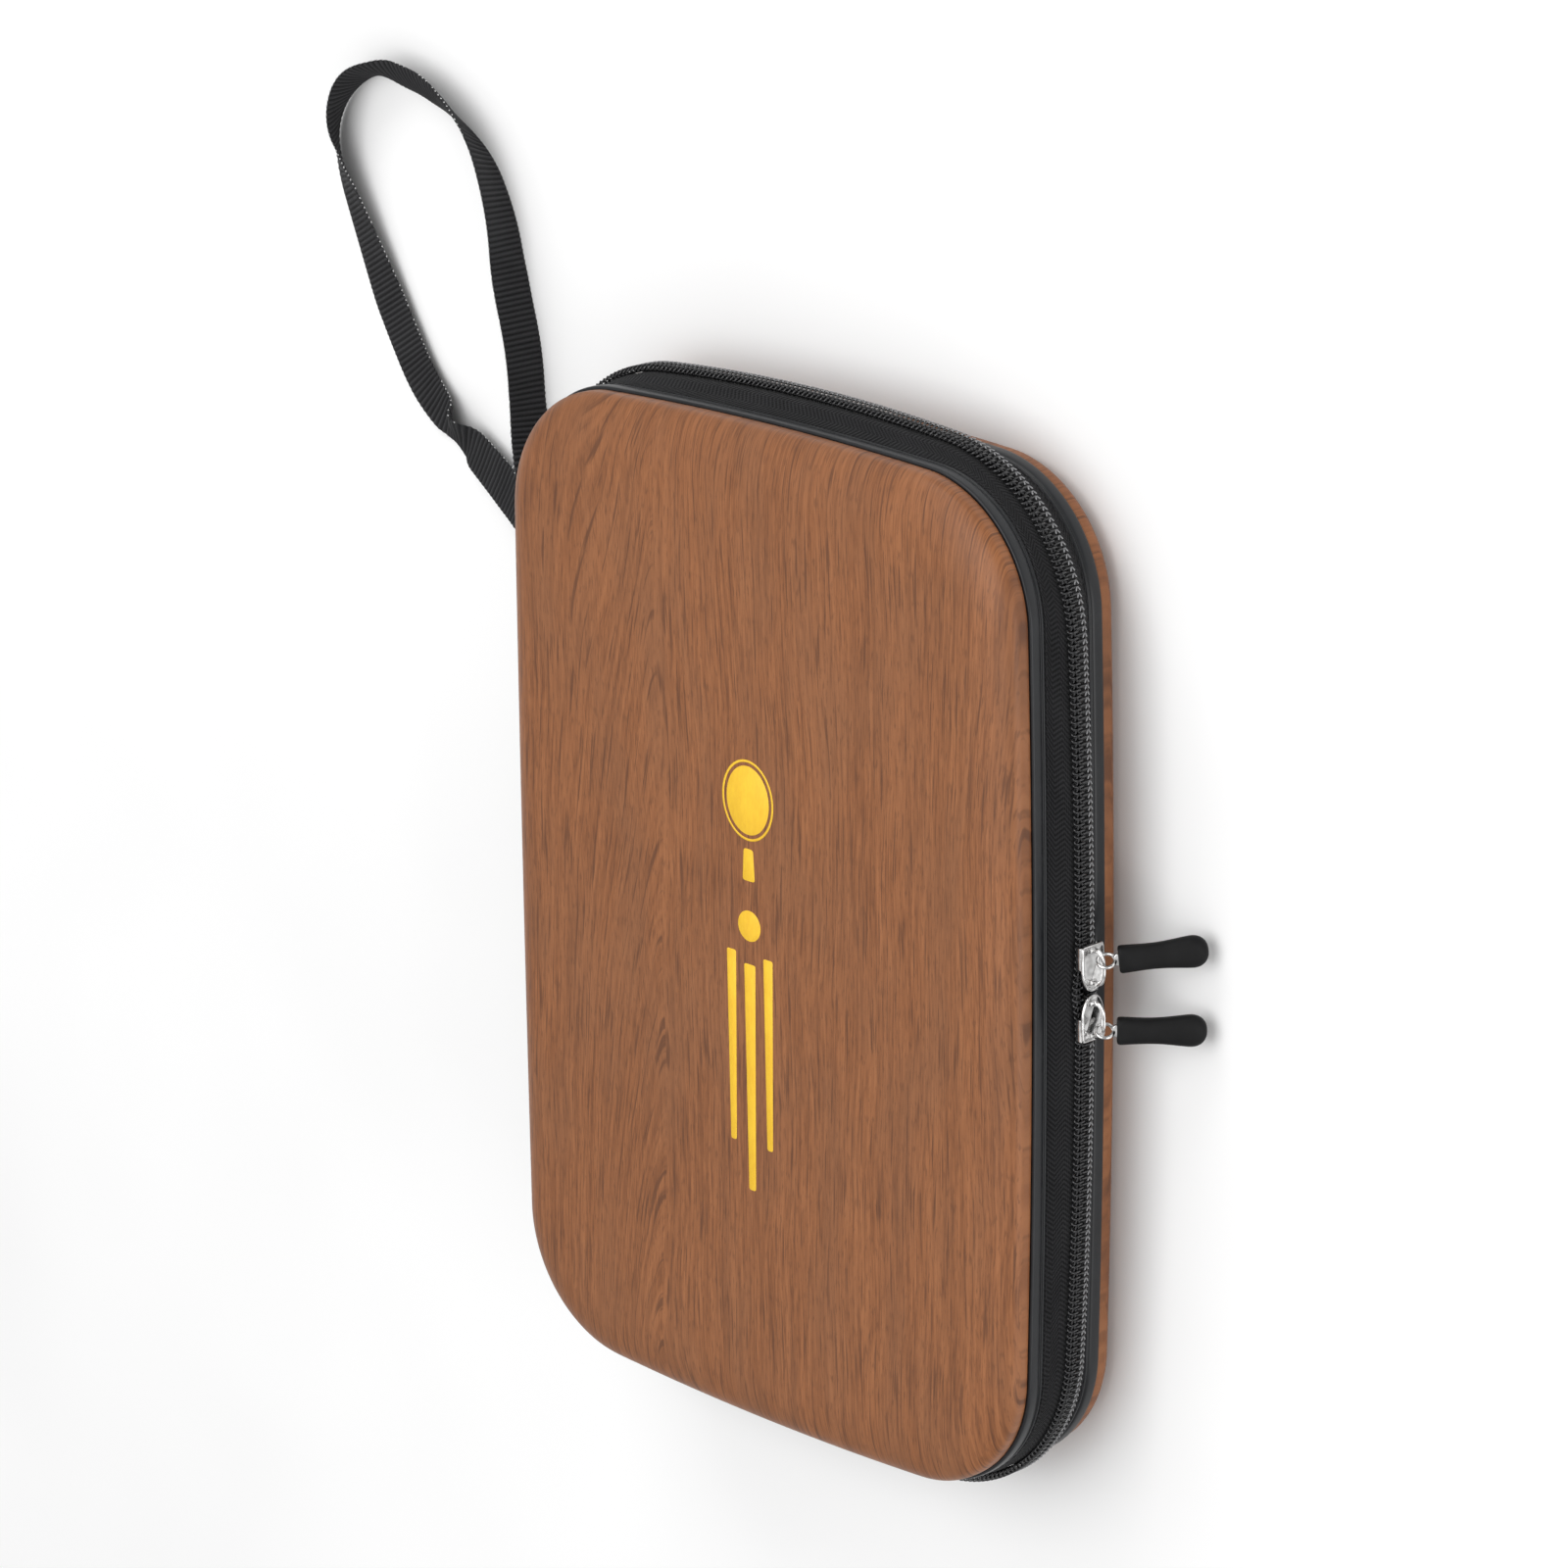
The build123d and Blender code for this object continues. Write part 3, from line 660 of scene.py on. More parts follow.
def wrist_strap():
    path = strap_line()
    marks = distances(path, False)[:-1]
    steps = np.arange(0, marks[-1], RIB / 7)
    line = np.column_stack([np.interp(steps, marks, path[:, k]) for k in range(3)])
    keys = np.array(STRAP_LEAN)
    nearest = [steps[np.argmin(np.linalg.norm(line[:, :2] - key[:2], axis=1))] for key in keys]
    nearest[0], nearest[-1] = 0.0, steps[-1]
    lean = np.radians(np.interp(steps, nearest, keys[:, 2]))
    kernel = np.hanning(41) / np.hanning(41).sum()
    lean = np.convolve(np.pad(lean, 20, mode="edge"), kernel, "valid")
    tangent = unit(np.gradient(line, axis=0))
    level_left = unit(np.column_stack([-tangent[:, 1], tangent[:, 0], np.zeros(len(line))]))
    upright = np.cross(tangent, level_left)
    wide = np.cos(lean)[:, None] * upright + np.sin(lean)[:, None] * level_left
    face = np.cross(tangent, wide)
    low = np.abs(wide[:, 2]) * STRAP_WIDTH / 2 + np.abs(face[:, 2]) * STRAP_THICK / 2 + 0.1
    centre = line.copy()
    centre[:, 2] = np.maximum(line[:, 2], low)
    phase = np.cos(2 * math.pi * steps / RIB)
    count = 15
    spread = np.linspace(-1, 1, count)
    sections = []
    for sign in (1, -1):
        for share in spread[::sign] * 1.0:
            dome = 1 - 0.55 * abs(share) ** 5
            rib = 0.24 * phase * (1 - abs(share) ** 8)
            cup = 0.35 * (share ** 2)
            half = STRAP_WIDTH / 2 * share * (1 + 0.014 * phase * abs(share) ** 6)
            height = sign * (STRAP_THICK / 2 * dome - 0.12 + rib) + cup
            sections.append(centre + wide * half[:, None] + face * height[:, None])
        if sign == 1:
            edge = STRAP_WIDTH / 2 * (1.008 + 0.022 * phase)
            sections.append(centre + wide * edge[:, None] + face * 0.35)
    edge = STRAP_WIDTH / 2 * (1.008 + 0.022 * phase)
    sections.append(centre - wide * edge[:, None] + face * 0.35)
    table = np.stack(sections, 1)
    sketch = Sketch()
    sketch.surface(table, close_cols=True, caps=(0, -1))
    strap = sketch.make("wrist_strap_webbing", "base", "webbing", WEBBING, ["wrist_strap"])
    drawn = distances(table[:, table.shape[1] // 2], False)[:-1]
    layer = strap.data.uv_layers[0]
    flat = np.empty(len(layer.data) * 2, np.float32)
    layer.data.foreach_get("uv", flat)
    flat[1::2] = np.interp(flat[1::2], drawn, steps)
    layer.data.foreach_set("uv", flat)
    picots = Sketch()
    spots = [n for n in range(4, len(steps) - 4, 7) if DICE.random() < 0.78]
    starts, stops = [], []
    for n in spots:
        rim = centre[n] + wide[n] * (STRAP_WIDTH / 2 + 0.26) + face[n] * 0.35
        lift = unit(face[n] * DICE.uniform(-0.6, 0.6) + tangent[n])
        starts.append(rim - lift * 0.28)
        stops.append(rim + lift * DICE.uniform(0.12, 0.34))
    dashes(picots, starts, stops, 0.19)
    edging = picots.make("wrist_strap_picots", "base", "webbing", PALE_THREAD)


wrist_strap()


# ---------------------------------------------------------------- shells, linings, welts, tapes

def dish(first_inset, drop_to, reach, low, walls):
    """Rings from the flat face's rim round a quarter-ellipse edge and up the wall."""
    # The innermost ring stands twice: it keeps the flat middle's shading apart from the bend's
    rings = [level(outline(-first_inset - reach), low)]
    for angle in np.radians(np.linspace(0, 90, 15)):
        inset = reach * (1 - math.sin(angle))
        z = low + drop_to * (1 - math.cos(angle))
        rings.append(level(outline(-first_inset - inset), z))
    rings.extend(level(outline(grow), z) for grow, z in walls)
    return rings


def shell(side):
    """Moulded foam shell: printed film outside, bare foam inside and under the welt."""
    sketch = Sketch()
    outer = dish(0, EDGE_DROP, EDGE_REACH, 0.0, [(0, 8.4), (-0.04, 9.5), (-0.35, 9.86), (-1.5, 10.0)])
    sketch.surface(np.array(outer), close_cols=True, caps=(0,), slot=0)
    inner = dish(3.0, EDGE_DROP, EDGE_REACH - 3.0, 3.0, [(-3.0, 14.4)])
    rim = [level(outline(-1.5), 10.0), level(outline(-1.6), 14.7), level(outline(-2.0), 14.95),
           level(outline(-2.7), 14.95), level(outline(-3.0), 14.7)]
    sketch.surface(np.array(rim + inner[::-1]), close_cols=True, caps=(-1,), slot=1)
    weld(sketch.make(side + "_shell_moulding", side, "wood_print_shell", [WOOD[side], FOAM],
                     [side + "_shell"], lid=side == "lid"))


def weld(made):
    """Joins rings that lie on each other, so that the mesh is closed."""
    bpy.context.view_layer.update()
    modifier = made.modifiers.new("weld", "WELD")
    modifier.merge_threshold = 0.000004
    with bpy.context.temp_override(object=made, active_object=made, selected_objects=[made]):
        bpy.ops.object.modifier_apply(modifier=modifier.name)
    return made


def lining(side):
    """Brushed lining with a shallow pressed channel round its floor."""
    sketch = Sketch()
    outer = dish(3.05, EDGE_DROP, EDGE_REACH - 3.05, 3.03, [(-3.05, 14.3)])
    inner = [level(outline(-3.72), 14.3)]
    inner += dish(3.7, EDGE_DROP, EDGE_REACH - 3.7, 3.75, [])[::-1]
    inner += [level(outline(-g), z) for g, z in
              ((19.2, 3.75), (19.8, 3.72), (20.4, 3.45), (21.2, 3.30),
                (22.0, 3.45), (22.6, 3.72), (23.4, 3.76), (30, 3.8))]
    sketch.surface(np.array(outer + inner), close_cols=True, caps=(0, -1))
    sketch.make(side + "_lining_cloth", side, "lining_fabric", LINING, [side + "_lining"], lid=side == "lid")


def ring_piece(name, body, slot, finish, profile, replaces=(), lid=False):
    """A closed cross-section of (grow, z) points, carried round the outline."""
    table = np.array([level(outline(grow), z) for grow, z in profile])
    sketch = Sketch()
    sketch.surface(table, close_rows=True, close_cols=True)
    return sketch.make(name, body, slot, finish, replaces, lid=lid)


WELT_SECTION = [
    (-0.9, 9.98), (-0.2, 9.92), (0.22, 9.90), (0.55, 10.02), (0.76, 10.32), (0.86, 10.8), (0.90, 11.6),
    (0.88, 12.4), (0.80, 13.1), (0.60, 13.6), (0.30, 13.88), (0.10, 14.04), (0.10, 14.20), (0.26, 14.34),
    (0.48, 14.44), (0.60, 14.66), (0.58, 14.92), (0.42, 15.14), (0.12, 15.24), (-0.5, 15.22), (-1.1, 15.12),
    (-1.55, 15.0), (-1.57, 12.5), (-1.5, 10.06)]
BINDING_SECTION = [
    (-3.76, 10.85), (-4.1, 10.80), (-4.42, 10.95), (-4.5, 11.5), (-4.48, 13.2), (-4.52, 14.8), (-4.42, 15.35),
    (-4.1, 15.62), (-3.4, 15.70), (-2.4, 15.66), (-1.5, 15.62), (-1.15, 15.45), (-1.15, 15.22), (-2.2, 15.06),
    (-3.4, 15.04), (-3.74, 14.9), (-3.76, 13)]

# The spine's points run over the end of the loop: from SPINE_FIRST on, and from 0 to SPINE_LAST
SPINE_SPOTS = np.where((outline(0)[0][:, 0] < 0) & (np.abs(outline(0)[0][:, 1]) < SPINE_HALF))[0]
SPINE_LAST = int(max(i for i in SPINE_SPOTS if i < LOOP_COUNT / 2))
SPINE_FIRST = int(min(i for i in SPINE_SPOTS if i > LOOP_COUNT / 2))


def zip_tape(side):
    """Herringbone tape from the welt out to the coil, round the ends and the zip side."""
    foot, inner_foot = outline(0.15), outline(-0.5)
    edge, inner_edge = ridge(-1.1), ridge(-1.85)
    outer = [(0.0, 15.05, 0.0), (0.10, 15.5, -0.03), (0.25, 16.15, -0.12), (0.42, 16.95, -0.20),
             (0.60, 17.8, -0.20),
             (0.76, 18.55, -0.12), (0.88, 19.1, -0.02), (0.96, 19.6, 0.05),
             (1.0, 20.2, 0.06), (1.0, 21.0, 0.0),
             (1.0, 22.0, 0.0), (1.0, 22.9, 0.0), (1.0, 23.3, -0.08), (1.0, 23.42, -0.35)]
    rings = [between(foot, edge, share, z, swell) for share, z, swell in outer]
    rings += [between(inner_foot, inner_edge, share, z, swell + 0.02) for share, z, swell in outer[::-1]]
    table = np.array(rings)[:, SPINE_LAST:SPINE_FIRST + 1]
    gap = parting(table[..., 0], table[..., 1]) * np.clip((table[..., 2] - 17.5) / 4.0, 0, 1)
    table[..., 2] -= gap * 0.8
    sketch = Sketch()
    sketch.surface(np.swapaxes(table, 0, 1)[:, ::-1], close_cols=True, caps=(0, -1))
    made = sketch.make(side + "_zip_tape_weave", side, "zip_tape", TAPE,
                       [side + "_zip_tape"], lid=side == "lid")
    swap_uv(made)


def swap_uv(made):
    """u runs along the tape and v across it."""
    layer = made.data.uv_layers[0]
    flat = np.empty(len(layer.data) * 2, np.float32)
    layer.data.foreach_get("uv", flat)
    layer.data.foreach_set("uv", flat.reshape(-1, 2)[:, ::-1].ravel())


def coil_turns(side, shift):
    """One half of the nylon coil, turn by turn, with its heads reaching past the middle."""
    track = Track(ridge(0))
    first, last = SPINE_HALF + STOP_LENGTH + 0.4, track.length - SPINE_HALF - STOP_LENGTH - 0.4
    turns = int((last - first) / COIL_PITCH) - 1
    angle = np.arange(0, turns * 2 * math.pi, 2 * math.pi / 12)
    s = first + COIL_PITCH * (angle / (2 * math.pi) + shift)
    s = s + 0.20 * np.sin(2 * angle)
    reach = np.cos(angle)
    flat = np.sign(reach) * np.abs(reach) ** 0.8
    z = MID - 1.45 + 1.78 * flat
    out = 0.78 * np.sin(angle) * (1 + 0.12 * reach)
    line = track.place(s, out, z)
    line[:, 2] -= parting(line[:, 0], line[:, 1])
    sketch = Sketch()
    tube(sketch, line, 0.31, sides=6)
    sketch.make(side + "_zip_coil_turns", side, "nylon_coil", NYLON, [side + "_zip_coil"], lid=side == "lid")
    sewn = Sketch()
    spots = first + COIL_PITCH * (np.arange(1, turns - 1) + shift)
    for z_row, lean in ((21.35, 0.34), (22.25, -0.34)):
        a = track.place(spots - 0.62, 0.98, z_row - lean)
        b = track.place(spots + 0.62, 0.98, z_row + lean)
        for ends in (a, b):
            ends[:, 2] -= parting(ends[:, 0], ends[:, 1])
        dashes(sewn, a, b, 0.21)
    # On the base half this thread's pale colour is painted highlight; on the lid half it is the thread's own
    # dark colour
    sewn.make(side + "_zip_coil_sewing", side, "zip_tape", COIL_THREAD_AND_PAINTED_HIGHLIGHT[side], lid=side == "lid")


def zip_stops(side):
    """Crimped metal stops at the coil's two ends."""
    sketch = Sketch()
    track = Track(ridge(0))
    section = box_outline(2.3, 2.6, 0.5)
    for start in (SPINE_HALF, track.length - SPINE_HALF - STOP_LENGTH):
        rings = []
        for share, pinch in ((0.0, 0.75), (0.04, 0.93), (0.12, 1.0), (0.42, 1.0),
                             (0.5, 0.9), (0.58, 1.0), (0.88, 1.0),
                             (0.96, 0.93), (1.0, 0.75)):
            s = np.full(len(section), start + STOP_LENGTH * share)
            rings.append(track.place(s, section[:, 0] * pinch + 0.02, 22.1 + section[:, 1] * pinch))
        sketch.surface(np.array(rings), close_cols=True, caps=(0, -1))
    sketch.make(side + "_zip_stop_crimps", side, "zip_metal", METAL, [side + "_zip_stops"], lid=side == "lid")


def seam_stitches(side):
    """Lock stitches along the tape's foot and round the binding."""
    track = Track(outline(0))
    spots = np.arange(1.0, track.length - 3.4, 3.3)
    sketch = Sketch()
    dashes(sketch, track.place(spots, 0.62, 15.75), track.place(spots + 2.3, 0.62, 15.78), THREAD_RADIUS)
    inner = Track(outline(-4.5))
    spots = np.arange(1.0, inner.length - 3.4, 3.3)
    dashes(sketch, inner.place(spots, -0.03, 12.6), inner.place(spots + 2.3, -0.03, 12.62), THREAD_RADIUS)
    sketch.make(side + "_seam_stitches", side, "seam_binding", THREAD, lid=side == "lid")


def spine_fabric():
    """One strip of fabric from the base's welt to the lid's, with a little slack at its middle."""
    foot, inner_foot = outline(0.15), outline(-0.5)
    edge, inner_edge = ridge(-1.1), ridge(-1.85)
    rings, backs = [], []
    for t in np.linspace(0, 1, 25):
        z = 15.05 + t * (TOP - 30.1)
        share = min(1.0, 2.6 * min(t, 1 - t))
        swell = 0.55 * math.sin(math.pi * t) ** 2
        rings.append(between(foot, edge, share, z, swell))
        backs.append(between(inner_foot, inner_edge, share, z, swell))
    table = np.array(rings + backs[::-1])
    columns = list(range(SPINE_FIRST - 1, LOOP_COUNT)) + list(range(0, SPINE_LAST + 2))
    table = table[:, columns]
    sketch = Sketch()
    sketch.surface(np.swapaxes(table, 0, 1)[:, ::-1], close_cols=True, caps=(0, -1))
    made = sketch.make("spine_fabric_strip", None, "spine_fabric", SPINE,
                       ["base_spine_fabric", "lid_spine_fabric"])
    swap_uv(made)
    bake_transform(made)


for part_side in ("base", "lid"):
    shell(part_side)
    lining(part_side)
    ring_piece(part_side + "_trim_welt", part_side, "rubber_welt", WELT_WITH_PAINTED_SHEEN, WELT_SECTION,
               [part_side + "_trim"], lid=part_side == "lid")
    ring_piece(part_side + "_binding_tape", part_side, "seam_binding", BINDING, BINDING_SECTION,
               [part_side + "_seam_binding"], lid=part_side == "lid")
    zip_tape(part_side)
    coil_turns(part_side, 0.0 if part_side == "base" else 0.5)
    zip_stops(part_side)
    seam_stitches(part_side)
spine_fabric()


# ---------------------------------------------------------------- sliders and pulls

PLATE_OUT, PLATE = 2.6, 0.9
BAIL_HALF, BAIL_HEIGHT, BAIL_BACK, RING_BACK = 4.8, 3.9, 0.5, 2.4
BAIL_FOOT = PLATE_OUT + PLATE - 0.2
RING_RADIUS, RING_WIRE = 2.5, 0.5
RING_HANG = {"upper": 0.8, "lower": 0.4}
RING_TWIST = {"upper": -60.0, "lower": 60.0}
PULL_YAW = {"upper": 6.0, "lower": 0.0}
TONGUE, NECK, SLEEVE_LENGTH = 8.0, 1.1, 24.8
PULL_DROOP = 45.0
RISE = OUT_ZIP + ZIP_BOW - OUT_CORNER
ZIP_RADIUS = ((END - END_BOW + OUT_CORNER) ** 2 + RISE ** 2) / (2 * RISE)
ZIP_CENTRE = ZIP_X + OUT_ZIP - ZIP_RADIUS


def turn(degrees, axis):
    return Matrix.Rotation(math.radians(degrees), 4, axis)


def ridge_frame(name):
    """From a slider's own frame (x out, y from nose to tail, z across) to the case's."""
    offset = (NOSE_GAP + SLIDER_LENGTH) / 2
    y = MEET_Y + offset if name == "upper" else MEET_Y - offset
    flip = Matrix.Identity(4) if name == "upper" else Matrix.Diagonal((1, -1, 1, 1))
    about = Matrix.Rotation(math.asin(y / ZIP_RADIUS), 4, "Z")
    return Matrix.Translation((ZIP_CENTRE, 0, MID)) @ about @ Matrix.Translation((ZIP_RADIUS, 0, 0)) @ flip


# Turns a pillow's flat outline (a, b) and height h into (x = h, y = a, z = b)
UPRIGHT = Matrix(((0, 0, 1, 0), (1, 0, 0, 0), (0, 1, 0, 0), (0, 0, 0, 1)))


def slider(name):
    """Cast slider: dished shield plate, folded side flanges, post, rear wing."""
    frame_of = ridge_frame(name) @ UPRIGHT
    shield = rounded([(-6.7, -1.1), (-5.6, -2.7), (-3.4, -3.85), (-0.8, -4.4), (2.4, -4.45), (6.7, -4.2),
                      (6.7, 4.2), (2.4, 4.45), (-0.8, 4.4), (-3.4, 3.85), (-5.6, 2.7), (-6.7, 1.1)], 1.1, 5)
    sketch = Sketch()
    pillow(sketch, shield, [(2.6, 0.3), (2.68, 0.08), (2.85, 0), (3.3, 0),
                            (3.5, 0.1), (3.6, 0.28), (3.6, 0.55),
                            (3.48, 0.8), (3.34, 1.05), (3.3, 1.3)], frame_of)
    for side in (-1, 1):
        flange = box_outline(6.6, 0.85, 0.35)
        place = Matrix.Translation((3.2, side * 4.1, 0))
        pillow(sketch, flange, soft_edges(1.0, 3.0, 0.22), frame_of @ place)
        lip = box_outline(6.2, 0.8, 0.3)
        place = Matrix.Translation((3.2, side * 3.85, 0))
        pillow(sketch, lip, soft_edges(0.75, 1.35, 0.2), frame_of @ place)
    wing = rounded([(-5.8, -1.4), (-4.4, -2.5), (5.2, -2.5), (5.2, 2.5), (-4.4, 2.5), (-5.8, 1.4)], 0.8)
    pillow(sketch, wing, soft_edges(-3.3, -2.4, 0.2), frame_of)
    post = box_outline(3.2, 0.7, 0.3)
    pillow(sketch, post, soft_edges(-2.6, 2.8, 0.1), frame_of @ Matrix.Translation((-4.2, 0, 0)))
    bumps = box_outline(1.7, 2.5, 0.6)
    for a in (BAIL_BACK - BAIL_HALF + 0.2, BAIL_BACK + BAIL_HALF - 0.2):
        pillow(sketch, bumps, soft_edges(3.2, 3.85, 0.3), frame_of @ Matrix.Translation((a, 0, 0)))
    sketch.make(name + "_slider_casting", name + "_zip_slider", "zip_metal", METAL, [name + "_slider"])
    arch = Sketch()
    line = []
    for angle in np.radians(np.linspace(0, 180, 44)):
        c, s = math.cos(angle), math.sin(angle)
        rise = BAIL_HEIGHT * s ** 0.55
        line.append((BAIL_FOOT + 0.1 + rise, BAIL_BACK - BAIL_HALF * math.copysign(abs(c) ** 0.8, c), 0.0))
    tube(arch, line, 0.74, 0.42, sides=16, matrix=ridge_frame(name))
    arch.make(name + "_bail_arch", name + "_zip_slider", "zip_metal", METAL, [name + "_bail"])


def superellipse(half_width, half_height, power, count=36):
    angles = np.linspace(0, 2 * math.pi, count, endpoint=False)
    c, s = np.cos(angles), np.sin(angles)
    return np.column_stack([half_width * np.sign(c) * np.abs(c) ** (2 / power),
                            half_height * np.sign(s) * np.abs(s) ** (2 / power)])


def pull(name):
    """Wire ring with a crimped tongue, and a rubber sleeve over the tongue."""
    yaw = PULL_YAW[name]
    out = BAIL_FOOT + BAIL_HEIGHT
    hang = Matrix.Translation((out, BAIL_BACK + RING_BACK, 0)) @ turn(PULL_DROOP, "Y") @ turn(yaw, "Z")
    frame_of = ridge_frame(name) @ hang
    body = name + "_zip_pull"
    link = Sketch()
    loop = [(RING_RADIUS * math.cos(a), RING_RADIUS * math.sin(a), 0)
            for a in np.linspace(0, 2 * math.pi, 48, endpoint=False)]
    ring_turn = Matrix.Translation((RING_HANG[name], 0, 0)) @ turn(RING_TWIST[name], "X")
    tube(link, loop, RING_WIRE, sides=12, closed=True, matrix=frame_of @ ring_turn)
    start = RING_HANG[name] + RING_RADIUS - 0.35
    tongue = rounded([(0, -1.1), (0.7, -1.75), (1.7, -1.75), (2.2, -1.5),
                      (TONGUE, -1.5), (TONGUE, 1.5), (2.2, 1.5),
                      (1.7, 1.75), (0.7, 1.75), (0, 1.1)], 0.4, 4)
    pillow(link, tongue, soft_edges(-0.55, 0.55, 0.2), frame_of @ Matrix.Translation((start, 0, 0)))
    link.make(name + "_pull_ring", body, "zip_metal", METAL, [name + "_pull_link"])
    sleeve = Sketch()
    begin = RING_HANG[name] + RING_RADIUS - RING_WIRE / 2 + NECK
    stations = [
        (1.2, 1.6, 0.75, 4), (0.35, 1.7, 0.85, 4), (0.02, 2.2, 1.2, 3.6),
        (-0.02, 3.0, 1.7, 3.6), (0.12, 3.5, 2.08, 3.4),
        (0.5, 3.82, 2.32, 3.2), (1.2, 3.92, 2.42, 3.1), (3.2, 3.82, 2.45, 3.0), (6.5, 3.66, 2.42, 2.9),
        (10.2, 3.6, 2.40, 2.8), (14.0, 3.78, 2.42, 2.7), (17.5, 4.18, 2.46, 2.6), (20.5, 4.52, 2.5, 2.5),
        (22.5, 4.68, 2.5, 2.5), (24.0, 4.42, 2.46, 2.4), (25.2, 3.85, 2.34, 2.3), (26.1, 2.98, 2.08, 2.2),
        (26.65, 2.1, 1.65, 2.1), (26.92, 1.2, 1.05, 2.0), (27.0, 0.35, 0.35, 2.0)]
    rings = []
    for x, wide, thick, power in stations:
        x = x * SLEEVE_LENGTH / 27
        section = superellipse(wide, thick, power)
        rings.append(np.column_stack([np.full(len(section), begin + x), section[:, 0], section[:, 1]]))
    table = moved(frame_of, np.array(rings).reshape(-1, 3)).reshape(len(rings), -1, 3)
    sleeve.surface(table, close_cols=True, caps=(0, -1))
    made = sleeve.make(name + "_pull_sleeve_rubber", body, "pull_rubber", SLEEVE, [name + "_pull_sleeve"])
    smooth_out(made)


def smooth_out(made):
    """One applied level of subdivision."""
    modifier = made.modifiers.new("smooth", "SUBSURF")
    modifier.levels = modifier.render_levels = 1
    bpy.context.view_layer.update()
    with bpy.context.temp_override(object=made, active_object=made, selected_objects=[made]):
        bpy.ops.object.modifier_apply(modifier=modifier.name)


for zip_name in ("upper", "lower"):
    slider(zip_name)
    pull(zip_name)


# ---------------------------------------------------------------- strap tabs and inside fittings

def strap_tabs():
    """Folded webbing tab over each end of the strap, sewn into the seam."""
    sketch, thread = Sketch(), Sketch()
    for y in (100.0, 84.0):
        fold = rounded([(0, -1.3), (3.9, -1.3), (3.9, 1.3), (0, 1.3)], 1.15, 7)
        ribs = np.linspace(-7.5, 7.5, 64)
        rings = []
        for step in ribs:
            swell = 1 + 0.045 * math.cos(2 * math.pi * step / RIB) - 0.10 * (abs(step) / 7.5) ** 8
            x = -105.75 + (fold[:, 0] - 1.95) * swell + 1.95
            z = 16.45 + fold[:, 1] * swell
            rings.append(np.column_stack([x, np.full(len(fold), y + step), z]))
        sketch.surface(np.array(rings), close_cols=True, caps=(0, -1))
        spots = np.arange(y - 6.4, y + 5.2, 2.0)
        for x in (-104.5, -102.9):
            a = np.column_stack([np.full(len(spots), x), spots, np.full(len(spots), 17.86)])
            dashes(thread, a, a + (0, 1.35, 0), THREAD_RADIUS)
    sketch.make("strap_tab_webbing", "base", "webbing", WEBBING, ["strap_tabs"])
    thread.make("strap_tab_stitches", "base", "webbing", THREAD)


def band_line():
    """The paddle band's middle line in the XZ plane, with rounded bends."""
    corners = [(-83.0, 4.5), (-70.0, 4.5), (-54.0, 19.7), (54.0, 19.7), (70.0, 4.5), (83.0, 4.5)]
    points = [np.array(corners[0])]
    for before, here, after in zip(corners, corners[1:], corners[2:]):
        before, here, after = map(np.array, (before, here, after))
        a, b = here + unit(before - here) * 4.5, here + unit(after - here) * 4.5
        points += [(1 - t) ** 2 * a + 2 * t * (1 - t) * here + t * t * b for t in np.linspace(0, 1, 9)]
    points.append(np.array(corners[-1]))
    line = np.array(points)
    marks = distances(line, False)[:-1]
    steps = np.linspace(0, marks[-1], 210)
    return np.column_stack([np.interp(steps, marks, line[:, k]) for k in (0, 1)]), marks[-1]


def ribbed_band(line, width, thick, ribs, ruffle=0.0):
    """Elastic band along a line of (x, z), with ribs lengthwise, in the middle of y = 0."""
    tangent = unit(np.gradient(line, axis=0))
    normal = np.column_stack([-tangent[:, 1], tangent[:, 0]])
    share = np.linspace(-1, 1, ribs * 4 + 1)
    bump = 0.12 * np.cos(share * math.pi * ribs) * (1 - np.abs(share) ** 20)
    half = thick / 2 * (1 - 0.6 * np.abs(share) ** 12) - 0.08
    columns = []
    wobble = ruffle * np.sin(np.arange(len(line)) * 2 * math.pi / 7.0)
    for sign in (1, -1):
        for s, b, h in list(zip(share, bump, half))[::sign]:
            lift = sign * (h + b) + wobble * s ** 2
            at = line + normal * np.asarray(lift).reshape(-1, 1)
            columns.append(np.column_stack([at[:, 0], np.full(len(line), s * width / 2), at[:, 1]]))
    return np.stack(columns, 1)


def paddle_band():
    line, length = band_line()
    sketch = Sketch()
    table = ribbed_band(line, 38.0, 1.4, 19) + (0, -38.0, 0)
    sketch.surface(table, close_cols=True, caps=(0, -1))
    band = sketch.make("paddle_band_elastic", "base", "elastic", ELASTIC, ["paddle_band"])
    thread = Sketch()
    for side in (-1, 1):
        corners = [(71.5, -55.5), (81.5, -55.5), (81.5, -20.5), (71.5, -20.5)]
        pairs = [(0, 1), (1, 2), (2, 3), (3, 0), (0, 2), (1, 3)]
        for a, b in pairs:
            p, q = np.array(corners[a], float), np.array(corners[b], float)
            count = int(np.linalg.norm(q - p) / 2.9)
            for step in range(count):
                t = (step + 0.12) / count
                s = (step + 0.82) / count
                one, two = p + (q - p) * t, p + (q - p) * s
                dashes(thread, [(side * one[0], one[1], 5.32)], [(side * two[0], two[1], 5.32)], 0.18)
    sewing = thread.make("paddle_band_stitches", "base", "elastic", THREAD)


def inside(points, loop, margin=0.0):
    """Which (n, 2) points lie inside a convex loop, by more than margin."""
    found = np.ones(len(points), bool)
    for spot, normal in zip(loop[0][::4], loop[1][::4]):
        found &= (points - spot) @ normal < -margin
    return found


